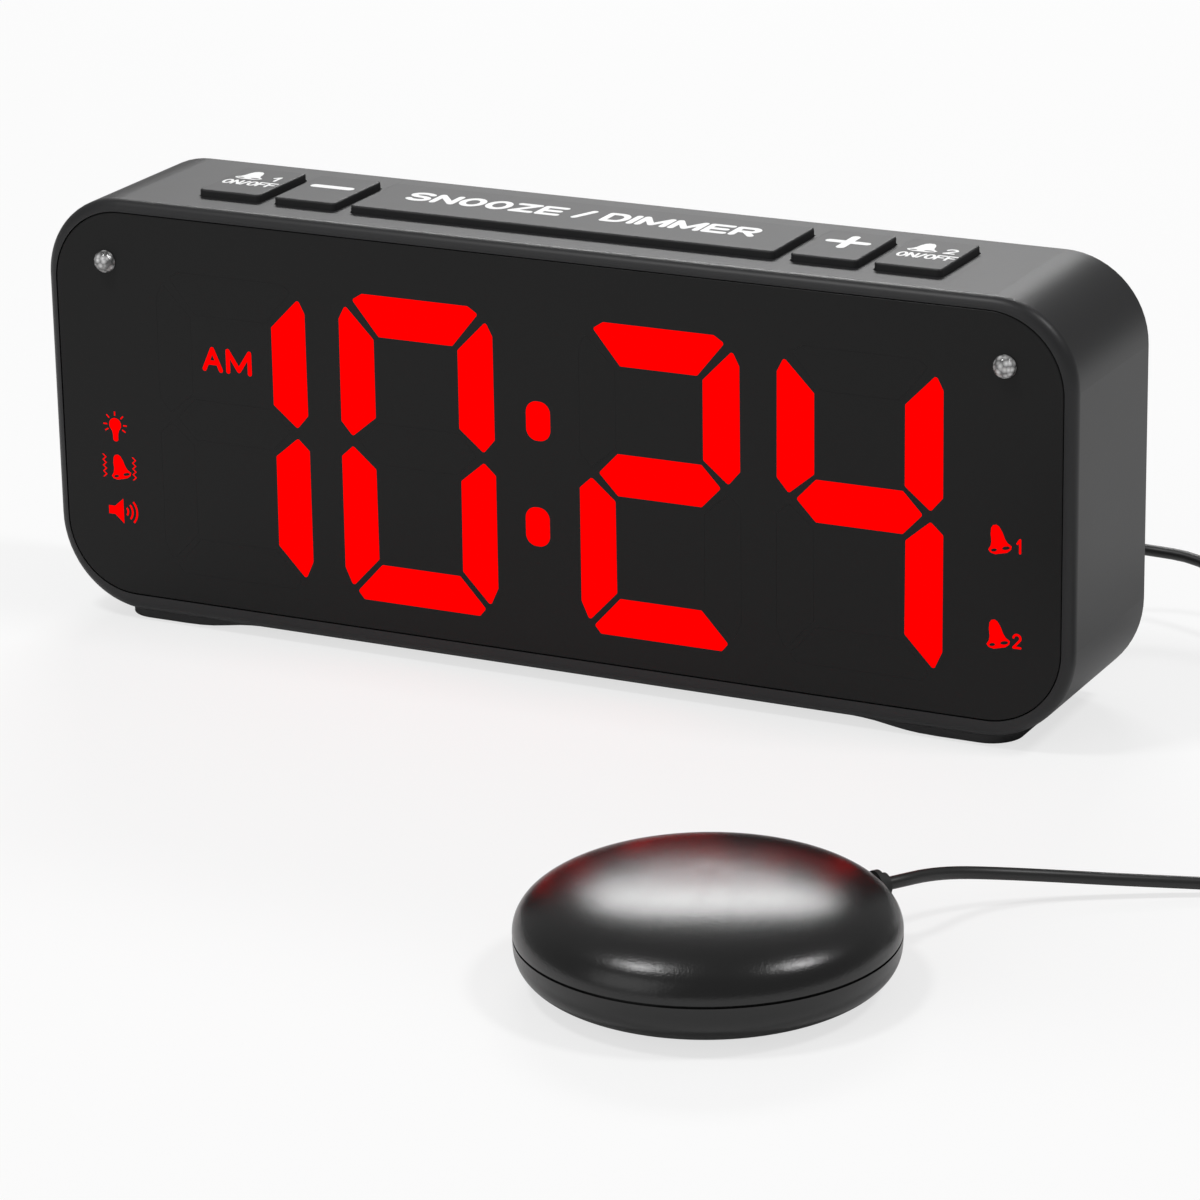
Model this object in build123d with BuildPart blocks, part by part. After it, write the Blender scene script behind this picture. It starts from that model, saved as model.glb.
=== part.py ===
# Bed shaker alarm clock: a desk clock with large digits, and a shaker puck on a cord.
# Millimetres, Z up, front faces -Y. The origin is the middle of the clock's footprint.
import os
from math import asin, cos, pi, radians, sin, tan

from build123d import *

os.makedirs("parts", exist_ok=True)

# Clock body
body_width = 229.0
body_depth = 39.0
body_bottom = 2.05
body_top = 91.2
top_corner = 17.5
bottom_corner = 19.5
front_round = 2.35
wall = 2.2
overrun = 1.0
contact_clearance = 0.02
running_clearance = 0.05

# Front lens
lens_width = 224.0
lens_height = 82.7
lens_bottom = 5.95
lens_corner = 15.7
lens_thickness = 2.0
lens_edge = 0.3
lens_clearance = 0.2
ledge_width = 1.5
ledge_depth = 1.5

# Feet
foot_outer = 101.0
foot_toe = 85.5
foot_heel = 65.0
foot_depth = 35.0
foot_corner = 6.5
foot_root = 1.55
pad_length = 10.0
pad_depth = 26.0
pad_corner = 2.0
pad_thickness = 0.9
pad_proud = 0.3
pad_inset = 2.2

# Digits: the middle bar's height, the cell and the bars
digit_middle = 46.2
digit_half_width = 17.7
digit_upper = 31.25
digit_lower = 33.95
digit_lean = 0.2
digit_round = 0.5
digit_places = {"hours_tens": -70.6, "hours_units": -27.6,
                "minutes_tens": 26.7, "minutes_units": 69.8}
digit_lit = {"hours_tens": "bc", "hours_units": "abcdef",
             "minutes_tens": "abdeg", "minutes_units": "bcfg"}
upper_side_shares = [(0.905, 0.909), (0.99, 0.816), (0.994, 0.125), (0.85, 0.03), (0.542, 0.173), (0.542, 0.70)]
lower_side_shares = [(0.85, 0.035), (1.0, 0.106), (1.0, 0.81), (0.90, 0.925), (0.548, 0.733), (0.554, 0.165)]
top_bar_shares = [(-0.81, 0.954), (-0.68, 1.0), (0.68, 1.0), (0.81, 0.954), (0.475, 0.723), (-0.475, 0.723)]
low_bar_shares = [(-0.508, 0.766), (0.508, 0.766), (0.836, 0.951), (0.757, 1.0), (-0.757, 1.0), (-0.836, 0.951)]
middle_bar_shares = [(-0.757, 0), (-0.52, 0.14), (0.52, 0.14), (0.757, 0), (0.52, -0.14), (-0.52, -0.14)]
colon_width = 5.4
colon_height = 8.2
colon_round = 2.4
colon_spots = [(-0.1, 55.3), (-0.65, 33.05)]

# Display parts behind the lens
block_width = 184.0
block_height = 72.0
block_middle = 45.0
block_depth = 6.0
board_thickness = 1.6
chip_width = 3.2
chip_depth = 1.6
chip_thickness = 0.9
chip_spread = 5.0
bar_chip_gap = 0.1

# Flash lamps
lamp_x = 100.0
lamp_z = 78.0
lamp_radius = 2.35
lamp_proud = 2.0
lamp_flange = 0.6
lamp_flange_thickness = 0.8
lamp_root = 1.2

# Keys in the top face
key_depth = 20.2
key_middle_y = 0.5
key_proud = 1.55
small_key_width = 14.3
snooze_width = 94.6
key_gap = 3.4
key_corner = 1.0
key_edge = 0.4
key_clearance = 0.25
key_flange = 0.8
key_flange_thickness = 1.0
flange_clearance = 0.05
key_travel = 1.2
dome_height = 5.0
dome_foot_radius = 3.5
dome_top_radius = 2.5
dome_foot_height = 0.8
snooze_dome_x = 26.0
key_board_front = 9.0
key_board_margin = 4.5
key_board_lip = 2.4
key_boss_radius = 2.2
key_boss_clearance = 0.4
key_boss_side = 6.8
key_boss_side_y = 3.0
key_boss_rear_x = 24.0

# Screws of the boards
screw_radius = 0.8
screw_head_radius = 1.8
screw_head_height = 1.1
screw_length = 4.5

# Rear cover
cover_thickness = 2.2
cover_recess = 0.3
cover_clearance = 0.15
vent_width = 1.6
vent_height = 12.0
vent_pitch = 4.0
vent_count = 7
vent_x = -76.0
vent_z = 70.0
cover_boss_radius = 3.6
cover_screw_radius = 1.25
cover_screw_head = 2.4
cover_screw_head_height = 1.2
cover_screw_length = 9.0
cover_screw_spots = [(-109.0, 52.0), (109.0, 52.0), (-36.0, 7.2), (36.0, 7.2)]

# Main board, carried on bosses of the rear cover
main_left = -46.0
main_right = 97.0
main_low = 9.0
main_high = 78.0
main_front = 0.0
main_boss_radius = 2.6
main_boss_spots = [(-42.0, 20.0), (-42.0, 74.0), (93.0, 74.0), (93.0, 34.0)]

# Speaker
speaker_x = -10.0
speaker_z = 50.0
speaker_radius = 18.0
speaker_flange = 1.5
speaker_cone_radius = 15.0
speaker_cone_depth = 4.0
speaker_dome_radius = 5.0
speaker_basket_depth = 7.0
speaker_magnet_radius = 10.0
speaker_depth = 12.0
grille_hole = 1.1
grille_rings = [(1, 0), (6, 5.0), (12, 10.0)]

# Backup cells and their bay
cell_radius = 5.25
cell_length = 42.5
cell_nub_radius = 1.9
cell_nub = 1.0
cell_pitch = 12.3
bay_length = 49.0
bay_height = 24.6
bay_x = -77.0
bay_z = 24.1
bay_depth = 11.8
bay_floor = 1.2
bay_wall = 2.4
contact_thickness = 0.5
contact_height = 8.0
spring_radius = 3.0
door_overlap = 1.0
door_clearance = 0.2
door_ridge_count = 5
door_ridge_width = 1.0
door_ridge_length = 12.0
door_ridge_pitch = 2.2
door_ridge_depth = 0.5

# Sockets
inlet_x = 60.0
socket_z = 17.0
inlet_width = 9.0
inlet_height = 11.0
inlet_nose_radius = 4.0
inlet_bore_radius = 2.75
inlet_bore_depth = 9.5
inlet_pin_radius = 1.0
jack_x = 84.0
jack_size = 8.0
jack_nose_radius = 3.4
plug_tip_radius = 1.75
plug_tip_length = 14.0
plug_body_radius = 4.0
plug_body_length = 22.0
plug_relief_length = 8.0
plug_relief_radius = 2.6
plug_gap = 0.2
nose_clearance = 0.1

# Rear keys and mode slider
rear_key_spots = {"rear_key_hour": 22.0, "rear_key_minute": 36.0, "rear_key_set": 50.0}
rear_key_z = 64.0
rear_key_radius = 3.5
rear_key_proud = 0.8
rear_key_flange = 1.0
rear_key_flange_thickness = 1.0
rear_key_stem_radius = 1.6
rear_key_travel = 1.0
rear_key_clearance = 0.15
switch_width = 6.0
switch_height = 4.0
switch_plunger_radius = 1.7
switch_plunger = 1.2
slider_x = 70.0
slider_travel = 3.0
slider_knob_width = 5.0
slider_knob_height = 3.6
slider_plate_width = 18.0
slider_plate_height = 8.0
slider_plate_thickness = 1.3
slider_leg = 3.0
slider_clearance = 0.1
slider_switch_width = 15.0
slider_switch_height = 7.0
slider_switch_depth = 6.4

# Shaker puck
puck_x = 96.3
puck_y = -146.0
puck_radius = 34.0
puck_seam = 9.5
puck_dome = 10.9
puck_dome_power = 2.48
puck_base = 10.86
puck_base_power = 3.09
puck_wall = 2.0
puck_floor = 0.3
puck_ring_inner = 14.0
puck_ring_outer = 21.0
puck_ring_thickness = 1.0
puck_post_radius = 2.6
puck_post_circle = 25.0
puck_post_turn = 115.0
puck_post_top = 16.0
puck_curve_steps = 10
puck_post_count = 3
puck_groove_half = 0.25
puck_groove_depth = 0.6
motor_radius = 6.0
motor_length = 20.0
motor_axis_z = 10.2
motor_front = 4.0
motor_edge = 0.5
shaft_radius = 1.0
shaft_length = 9.0
shaft_seat = 3.0
weight_radius = 6.3
weight_length = 7.0
weight_start = 1.2
weight_hub_radius = 2.4
bracket_length = 14.0
bracket_width = 16.0
bracket_height = 6.0
grommet_radius = 2.1
grommet_collar_radius = 2.9
grommet_collar = 1.0
grommet_inner = 30.0
grommet_outer = 36.4
grommet_z = 10.6
grommet_turn = 55.0

# Cord
cord_radius = 1.2
arc_share = 0.45
coil_x = 178.0
coil_y = -10.0
coil_outer = 22.9
coil_step = 1.65
coil_rise = 3.15
coil_turns_in = 6
coil_turns_out = 6
coil_last_turns = 5
coil_floor = 1.25
exit_run = 3.5
coil_run = 7.2
plug_run = 8.0
puck_route = [
    (121.0, -107.0, 9.6), (123.9, -100.0, 8.0), (129.5, -93.2, 6.2), (137.5, -86.9, 4.7),
    (146.8, -81.3, 3.5), (158.5, -75.1, 2.5), (171.5, -69.5, 1.8), (183.0, -61.5, 1.4),
    (193.0, -50.0, 1.3), (199.0, -37.0, 1.25), (200.9, -24.5, 1.25),
]
clock_route = [
    (88.4, 64.4, 15.8), (97.2, 67.6, 14.7), (109.5, 66.2, 14.8), (122.5, 60.0, 11.5),
    (133.0, 50.5, 6.8), (141.0, 39.5, 3.2), (147.5, 28.0, 2.8), (154.0, 19.5, 4.6),
    (160.6, 13.6, 8.2),
]

# Chips on the main board: middle, width, height and thickness
main_chips = [
    (10.0, 44.0, 14.0, 14.0, 1.6), (38.0, 30.0, 8.0, 6.0, 1.5), (66.0, 40.0, 10.0, 7.0, 2.2),
    (-14.0, 62.0, 7.0, 5.0, 1.4), (30.0, 56.0, 4.6, 11.0, 3.6), (-30.0, 34.0, 6.0, 9.0, 2.0),
]
main_cans = [(60.0, 62.0, 3.2, 7.0), (70.0, 62.0, 3.2, 7.0), (48.0, 18.0, 4.0, 7.5), (-32.0, 54.0, 6.0, 5.0)]
link_width = 20.0
link_height = 2.5
link_x = 28.0
link_z = 13.0
key_link_x = -10.0
key_link_reach = 8.0
key_link_thickness = 1.2

# Levels that several pieces share
front_y = -body_depth / 2
rear_y = body_depth / 2
body_middle = (body_top + body_bottom) / 2
body_height = body_top - body_bottom
lens_back = front_y + lens_thickness
ledge_back = lens_back + ledge_depth
lens_middle = lens_bottom + lens_height / 2
cover_rear = rear_y - cover_recess
cover_front = cover_rear - cover_thickness
ceiling = body_top - wall
block_back = lens_back + block_depth
board_back = block_back + board_thickness
chip_front = block_back - chip_thickness
flange_top = ceiling - flange_clearance
flange_bottom = flange_top - key_flange_thickness
key_top = body_top + key_proud
key_board_top = flange_bottom - dome_height
key_board_bottom = key_board_top - board_thickness
main_back = main_front + board_thickness


def finish(piece, name):
    piece.part.label = name
    export_step(piece.part, "parts/" + name + ".step")


def front_plane(y):
    return Plane.XZ.offset(-y)


def body_outline(inset):
    Rectangle(body_width - 2 * inset, body_height - 2 * inset)
    ends = vertices().sort_by(Axis.Y)
    fillet(ends[:2], bottom_corner - inset)
    fillet(vertices().sort_by(Axis.Y)[-2:], top_corner - inset)


# Keys: name, middle and width, from left to right
small_step = snooze_width / 2 + key_gap + small_key_width / 2
outer_step = small_step + small_key_width + key_gap
key_places = {"key_alarm1": (-outer_step, small_key_width), "key_minus": (-small_step, small_key_width),
              "key_snooze": (0, snooze_width), "key_plus": (small_step, small_key_width),
              "key_alarm2": (outer_step, small_key_width)}
key_boss_x = outer_step + small_key_width / 2 + key_boss_side
key_boss_rear_y = key_middle_y + key_depth / 2 + key_flange + key_boss_clearance + key_boss_radius
key_boss_places = [(-key_boss_x, key_boss_side_y), (key_boss_x, key_boss_side_y),
                   (-key_boss_rear_x, key_boss_rear_y), (key_boss_rear_x, key_boss_rear_y)]
key_board_width = 2 * (key_boss_x + key_board_margin)
key_board_rear = key_boss_rear_y + key_board_lip


# Housing: a tube with the lens recess in front, key openings on top and feet below
foot_top = body_bottom + foot_root
foot_bend = (foot_toe + foot_heel) / 2
pad_middle = (foot_toe + foot_outer - pad_inset) / 2

with BuildPart() as right_foot:
    with BuildSketch(front_plane(-foot_depth / 2)):
        with BuildLine():
            Polyline((foot_heel, foot_top), (foot_outer, foot_top), (foot_outer, pad_proud), (foot_toe, pad_proud))
            Bezier((foot_toe, pad_proud), (foot_bend, pad_proud), (foot_bend, body_bottom),
                   (foot_heel, body_bottom))
            Line((foot_heel, body_bottom), (foot_heel, foot_top))
        make_face()
    extrude(amount=-foot_depth)
    fillet(right_foot.edges().filter_by(Axis.Z).group_by(Axis.X)[-1], foot_corner)
    with BuildSketch(Plane.XY.offset(pad_thickness)):
        with Locations((pad_middle, 0)):
            RectangleRounded(pad_length, pad_depth, pad_corner)
    extrude(amount=-pad_thickness, mode=Mode.SUBTRACT)

with BuildPart() as housing:
    with BuildSketch(front_plane(front_y)):
        with Locations((0, body_middle)):
            body_outline(0)
    extrude(amount=-body_depth)
    fillet(housing.faces().sort_by(Axis.Y)[0].edges(), front_round)
    with BuildSketch(front_plane(front_y)):
        with Locations((0, lens_middle)):
            RectangleRounded(lens_width + 2 * lens_clearance, lens_height + 2 * lens_clearance,
                             lens_corner + lens_clearance)
    extrude(amount=-lens_thickness, mode=Mode.SUBTRACT)
    with BuildSketch(front_plane(lens_back)):
        with Locations((0, lens_middle)):
            RectangleRounded(lens_width - 2 * ledge_width, lens_height - 2 * ledge_width,
                             lens_corner - ledge_width)
    extrude(amount=-ledge_depth, mode=Mode.SUBTRACT)
    with BuildSketch(front_plane(ledge_back)):
        with Locations((0, body_middle)):
            body_outline(wall)
    extrude(amount=-(rear_y - ledge_back), mode=Mode.SUBTRACT)
    for place, width in key_places.values():
        with BuildSketch(Plane.XY.offset(ceiling - overrun)):
            with Locations((place, key_middle_y)):
                RectangleRounded(width + 2 * key_clearance, key_depth + 2 * key_clearance,
                                 key_corner + key_clearance)
        extrude(amount=wall + 2 * overrun, mode=Mode.SUBTRACT)
    with BuildSketch(Plane.XY.offset(key_board_top)):
        with Locations(*key_boss_places):
            Circle(key_boss_radius)
    extrude(amount=ceiling - key_board_top)
    with BuildSketch(Plane.XY.offset(key_board_top)):
        with Locations(*key_boss_places):
            Circle(screw_radius + contact_clearance)
    extrude(amount=screw_length, mode=Mode.SUBTRACT)
    with BuildSketch(front_plane(cover_front)):
        with Locations(*cover_screw_spots):
            Circle(cover_boss_radius)
    extrude(amount=cover_screw_length)
    with BuildSketch(front_plane(cover_front)):
        with Locations(*cover_screw_spots):
            Circle(cover_screw_radius + contact_clearance)
    extrude(amount=cover_screw_length - cover_thickness, mode=Mode.SUBTRACT)
    add(right_foot.part)
    add(mirror(right_foot.part, Plane.YZ))
finish(housing, "housing")

with BuildPart() as foot_pads:
    for side in (-1, 1):
        with BuildSketch():
            with Locations((side * pad_middle, 0)):
                RectangleRounded(pad_length, pad_depth, pad_corner)
        extrude(amount=pad_thickness)
finish(foot_pads, "foot_pads")


# Digits: each bar's outline comes from shares of the cell
def bar_outline(letter, middle_x):
    table = {"a": (top_bar_shares, 1, digit_upper), "d": (low_bar_shares, 1, -digit_lower),
             "g": (middle_bar_shares, 1, digit_upper), "b": (upper_side_shares, 1, digit_upper),
             "f": (upper_side_shares, -1, digit_upper), "c": (lower_side_shares, 1, -digit_lower),
             "e": (lower_side_shares, -1, -digit_lower)}
    shares, side, reach = table[letter]
    lean = tan(radians(digit_lean))
    points = []
    for across, up in shares:
        rise = up * reach
        points.append((middle_x + side * across * digit_half_width + rise * lean, digit_middle + rise))
    return points


def bar_prism(letter, middle_x, front, back, growth):
    with BuildSketch(front_plane(front)) as face:
        with BuildLine():
            Polyline(*bar_outline(letter, middle_x), close=True)
        make_face()
        fillet(face.vertices(), digit_round)
        if growth:
            offset(amount=growth)
    return extrude(face.sketch, amount=front - back)


def colon_prism(spot, front, back, growth):
    with BuildSketch(front_plane(front)) as face:
        with Locations(spot):
            RectangleRounded(colon_width + 2 * growth, colon_height + 2 * growth, colon_round + growth)
    return extrude(face.sketch, amount=front - back)


def light_windows(front, back):
    windows = []
    for middle_x in digit_places.values():
        for letter in "abcdefg":
            windows.append(bar_prism(letter, middle_x, front, back, contact_clearance))
    for spot in colon_spots:
        windows.append(colon_prism(spot, front, back, contact_clearance))
    return windows


# Front lens, with a window for each light bar
with BuildPart() as front_lens:
    with BuildSketch(front_plane(front_y)):
        with Locations((0, lens_middle)):
            RectangleRounded(lens_width, lens_height, lens_corner)
    extrude(amount=-lens_thickness)
    fillet(front_lens.faces().sort_by(Axis.Y)[0].edges(), lens_edge)
    add(light_windows(front_y - overrun, lens_back + overrun), mode=Mode.SUBTRACT)
    with BuildSketch(front_plane(front_y)):
        with Locations((-lamp_x, lamp_z), (lamp_x, lamp_z)):
            Circle(lamp_radius + contact_clearance)
    extrude(amount=-lens_thickness, mode=Mode.SUBTRACT)
finish(front_lens, "front_lens")

# Display block: keeps the light of each bar apart
with BuildPart() as display_block:
    with BuildSketch(front_plane(lens_back)):
        with Locations((0, block_middle)):
            Rectangle(block_width, block_height)
    extrude(amount=-block_depth)
    add(light_windows(lens_back - overrun, block_back + overrun), mode=Mode.SUBTRACT)
finish(display_block, "display_block")

# Light bars: those that show the time, and the dark ones beside them
bar_back = chip_front - bar_chip_gap
for digit, middle_x in digit_places.items():
    with BuildPart() as lit_bars:
        for letter in digit_lit[digit]:
            add(bar_prism(letter, middle_x, front_y, bar_back, 0))
    finish(lit_bars, "digit_" + digit + "_lit")
    with BuildPart() as dark_bars:
        for letter in "abcdefg":
            if letter not in digit_lit[digit]:
                add(bar_prism(letter, middle_x, front_y, bar_back, 0))
    finish(dark_bars, "digit_" + digit + "_unlit")

with BuildPart() as colon_dots:
    for spot in colon_spots:
        add(colon_prism(spot, front_y, bar_back, 0))
finish(colon_dots, "colon_dots")

# Display board and its light chips, two under each bar
with BuildPart() as display_board:
    with BuildSketch(front_plane(block_back)):
        with Locations((0, block_middle)):
            Rectangle(block_width, block_height)
    extrude(amount=-board_thickness)
finish(display_board, "display_board")

chip_spots = list(colon_spots)
for middle_x in digit_places.values():
    for letter in "abcdefg":
        outline = bar_outline(letter, middle_x)
        spot_x = sum(x for x, z in outline) / len(outline)
        spot_z = sum(z for x, z in outline) / len(outline)
        if letter in "adg":
            chip_spots += [(spot_x - chip_spread, spot_z), (spot_x + chip_spread, spot_z)]
        else:
            chip_spots += [(spot_x, spot_z - chip_spread), (spot_x, spot_z + chip_spread)]
with BuildPart() as segment_leds:
    with BuildSketch(front_plane(block_back)):
        with Locations(*chip_spots):
            Rectangle(chip_width, chip_depth)
    extrude(amount=chip_thickness)
finish(segment_leds, "segment_leds")

# Flash lamps: clear domes that stand through the lens
with BuildPart() as flash_lamps:
    with BuildSketch(front_plane(lens_back + lamp_flange_thickness)):
        with Locations((-lamp_x, lamp_z), (lamp_x, lamp_z)):
            Circle(lamp_radius + lamp_flange)
    extrude(amount=lamp_flange_thickness)
    with BuildSketch(front_plane(lens_back + lamp_flange_thickness + lamp_root)):
        with Locations((-lamp_x, lamp_z), (lamp_x, lamp_z)):
            Circle(lamp_radius)
    extrude(amount=lamp_root + lamp_flange_thickness + lens_thickness + lamp_proud)
    fillet(flash_lamps.faces().sort_by(Axis.Y)[:2].edges(), lamp_proud)
finish(flash_lamps, "flash_lamps")

# Key board under the top face
key_board_middle = (key_board_rear - key_board_front) / 2
with BuildPart() as key_board:
    with BuildSketch(Plane.XY.offset(key_board_bottom)):
        with Locations((0, key_board_middle)):
            Rectangle(key_board_width, key_board_front + key_board_rear)
        with Locations(*key_boss_places):
            Circle(screw_radius + contact_clearance, mode=Mode.SUBTRACT)
    extrude(amount=board_thickness)
finish(key_board, "key_board")

# Keys, each with the rubber domes under it
for key, (place, width) in key_places.items():
    with BuildPart() as cap:
        with BuildSketch(Plane.XY.offset(flange_bottom)):
            with Locations((place, key_middle_y)):
                RectangleRounded(width + 2 * key_flange, key_depth + 2 * key_flange, key_corner + key_flange)
        extrude(amount=key_flange_thickness)
        with BuildSketch(Plane.XY.offset(flange_bottom)):
            with Locations((place, key_middle_y)):
                RectangleRounded(width, key_depth, key_corner)
        extrude(amount=key_top - flange_bottom)
        fillet(cap.faces().sort_by(Axis.Z)[-1].edges(), key_edge)
    finish(cap, key)
    dome_spots = [(place, key_middle_y)]
    if key == "key_snooze":
        dome_spots = [(-snooze_dome_x, key_middle_y), (snooze_dome_x, key_middle_y)]
    with BuildPart() as dome:
        with BuildSketch(Plane.XY.offset(key_board_top)):
            with Locations(*dome_spots):
                Circle(dome_foot_radius + dome_foot_height)
        extrude(amount=dome_foot_height)
        for spot in dome_spots:
            with BuildSketch(Plane.XY.offset(key_board_top + dome_foot_height)):
                with Locations(spot):
                    Circle(dome_foot_radius)
            with BuildSketch(Plane.XY.offset(flange_bottom)):
                with Locations(spot):
                    Circle(dome_top_radius)
            loft()
    finish(dome, key.replace("key_", "dome_"))

with BuildPart() as key_board_screws:
    with BuildSketch(Plane.XY.offset(key_board_bottom - screw_head_height)):
        with Locations(*key_boss_places):
            Circle(screw_head_radius)
    extrude(amount=screw_head_height)
    with BuildSketch(Plane.XY.offset(key_board_bottom)):
        with Locations(*key_boss_places):
            Circle(screw_radius)
    extrude(amount=screw_length)
finish(key_board_screws, "key_board_screws")


# Rear cover, with the bay for the backup cells and the bosses of the main board
bay_back = cover_front - bay_depth
bay_size = (bay_length, bay_height)
slot_width = slider_knob_width + 2 * slider_travel + 2 * slider_clearance
with BuildPart() as rear_cover:
    with BuildSketch(front_plane(cover_front)):
        with Locations((0, body_middle)):
            body_outline(wall + cover_clearance)
    extrude(amount=-cover_thickness)
    with BuildSketch(front_plane(bay_back - bay_floor)):
        with Locations((bay_x, bay_z)):
            Rectangle(bay_length + 2 * bay_wall, bay_height + 2 * bay_wall)
    extrude(amount=-(bay_depth + bay_floor))
    with BuildSketch(front_plane(main_back)):
        with Locations(*main_boss_spots):
            Circle(main_boss_radius)
    extrude(amount=-(cover_front - main_back))
    with BuildSketch(front_plane(bay_back)):
        with Locations((bay_x, bay_z)):
            Rectangle(*bay_size)
    extrude(amount=-(bay_depth + overrun), mode=Mode.SUBTRACT)
    with BuildSketch(front_plane(cover_front)):
        with Locations((bay_x, bay_z)):
            RectangleRounded(bay_length + 2 * (door_overlap + door_clearance),
                             bay_height + 2 * (door_overlap + door_clearance), door_overlap)
        with Locations((slider_x, rear_key_z)):
            Rectangle(slot_width, slider_knob_height + 2 * slider_clearance)
        for place in rear_key_spots.values():
            with Locations((place, rear_key_z)):
                Circle(rear_key_radius + rear_key_clearance)
        with Locations((inlet_x, socket_z)):
            Circle(inlet_nose_radius + nose_clearance)
        with Locations((jack_x, socket_z)):
            Circle(jack_nose_radius + nose_clearance)
        with Locations(*cover_screw_spots):
            Circle(cover_screw_radius + nose_clearance)
        with Locations((vent_x, vent_z)):
            with GridLocations(vent_pitch, vent_height, vent_count, 1):
                SlotOverall(vent_height, vent_width, rotation=90)
        with Locations((speaker_x, speaker_z)):
            for count, ring in grille_rings:
                with PolarLocations(ring, count):
                    Circle(grille_hole)
    extrude(amount=-cover_thickness, mode=Mode.SUBTRACT)
    with BuildSketch(front_plane(cover_rear - cover_screw_head_height)):
        with Locations(*cover_screw_spots):
            Circle(cover_screw_head + nose_clearance)
    extrude(amount=-cover_screw_head_height, mode=Mode.SUBTRACT)
    with BuildSketch(front_plane(main_back)):
        with Locations(*main_boss_spots):
            Circle(screw_radius + contact_clearance)
    extrude(amount=-screw_length, mode=Mode.SUBTRACT)
finish(rear_cover, "rear_cover")

with BuildPart() as rear_cover_screws:
    with BuildSketch(front_plane(cover_rear)):
        with Locations(*cover_screw_spots):
            Circle(cover_screw_head)
    extrude(amount=cover_screw_head_height)
    with BuildSketch(front_plane(cover_rear - cover_screw_head_height)):
        with Locations(*cover_screw_spots):
            Circle(cover_screw_radius)
    extrude(amount=cover_screw_length - cover_thickness)
finish(rear_cover_screws, "rear_cover_screws")

# Battery door, its grip grooves, the two cells and their contacts
with BuildPart() as battery_door:
    with BuildSketch(front_plane(cover_front)):
        with Locations((bay_x, bay_z)):
            RectangleRounded(bay_length + 2 * door_overlap, bay_height + 2 * door_overlap, door_overlap)
    extrude(amount=-cover_thickness)
    with BuildSketch(front_plane(cover_rear - door_ridge_depth)):
        with Locations((bay_x, bay_z)):
            with GridLocations(door_ridge_length, door_ridge_pitch, 1, door_ridge_count):
                SlotOverall(door_ridge_length, door_ridge_width)
    extrude(amount=-door_ridge_depth, mode=Mode.SUBTRACT)
finish(battery_door, "battery_door")

cell_y = cover_front - bay_depth / 2
bay_end = bay_length / 2
spring_length = bay_length - 2 * contact_thickness - cell_length - cell_nub
for name, side in (("battery_lower", 1), ("battery_upper", -1)):
    cell_z = bay_z - side * cell_pitch / 2
    nub_end = bay_x + side * (bay_end - contact_thickness)
    with BuildPart() as cell:
        with BuildSketch(Plane(origin=(nub_end, cell_y, cell_z), z_dir=(-side, 0, 0))):
            Circle(cell_nub_radius)
        extrude(amount=cell_nub)
        with BuildSketch(Plane(origin=(nub_end - side * cell_nub, cell_y, cell_z), z_dir=(-side, 0, 0))):
            Circle(cell_radius)
        extrude(amount=cell_length)
    finish(cell, name)

with BuildPart() as battery_contacts:
    for side in (-1, 1):
        for row in (-1, 1):
            spot = (bay_x + side * bay_end, cell_y, bay_z + row * cell_pitch / 2)
            with BuildSketch(Plane(origin=spot, z_dir=(-side, 0, 0))):
                Rectangle(contact_height, contact_height)
            extrude(amount=contact_thickness)
            if side == row:
                tip = (spot[0] - side * contact_thickness, cell_y, spot[2])
                with BuildSketch(Plane(origin=tip, z_dir=(-side, 0, 0))):
                    Circle(spring_radius)
                extrude(amount=spring_length)
finish(battery_contacts, "battery_contacts")

# Main board, what stands on it and its screws
with BuildPart() as main_board:
    with BuildSketch(front_plane(main_front)):
        with Locations(((main_left + main_right) / 2, (main_low + main_high) / 2)):
            Rectangle(main_right - main_left, main_high - main_low)
        with Locations(*main_boss_spots):
            Circle(screw_radius + contact_clearance, mode=Mode.SUBTRACT)
    extrude(amount=-board_thickness)
finish(main_board, "main_board")

with BuildPart() as main_board_parts:
    for x, z, width, height, thickness in main_chips:
        with BuildSketch(front_plane(main_front)):
            with Locations((x, z)):
                Rectangle(width, height)
        extrude(amount=thickness)
    for x, z, radius, height in main_cans:
        with BuildSketch(front_plane(main_front)):
            with Locations((x, z)):
                Circle(radius)
        extrude(amount=height)
finish(main_board_parts, "main_board_parts")

with BuildPart() as board_links:
    with BuildSketch(front_plane(main_front)):
        with Locations((link_x, link_z)):
            Rectangle(link_width, link_height)
    extrude(amount=main_front - board_back)
    with BuildSketch(Plane.XY.offset(key_board_bottom)):
        with Locations((key_link_x, main_front - key_link_thickness / 2)):
            Rectangle(link_width, key_link_thickness)
    extrude(amount=-key_link_reach)
finish(board_links, "board_links")

with BuildPart() as main_board_screws:
    with BuildSketch(front_plane(main_front)):
        with Locations(*main_boss_spots):
            Circle(screw_head_radius)
    extrude(amount=screw_head_height)
    with BuildSketch(front_plane(main_front)):
        with Locations(*main_boss_spots):
            Circle(screw_radius)
    extrude(amount=-(screw_length + contact_clearance))
finish(main_board_screws, "main_board_screws")

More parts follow.
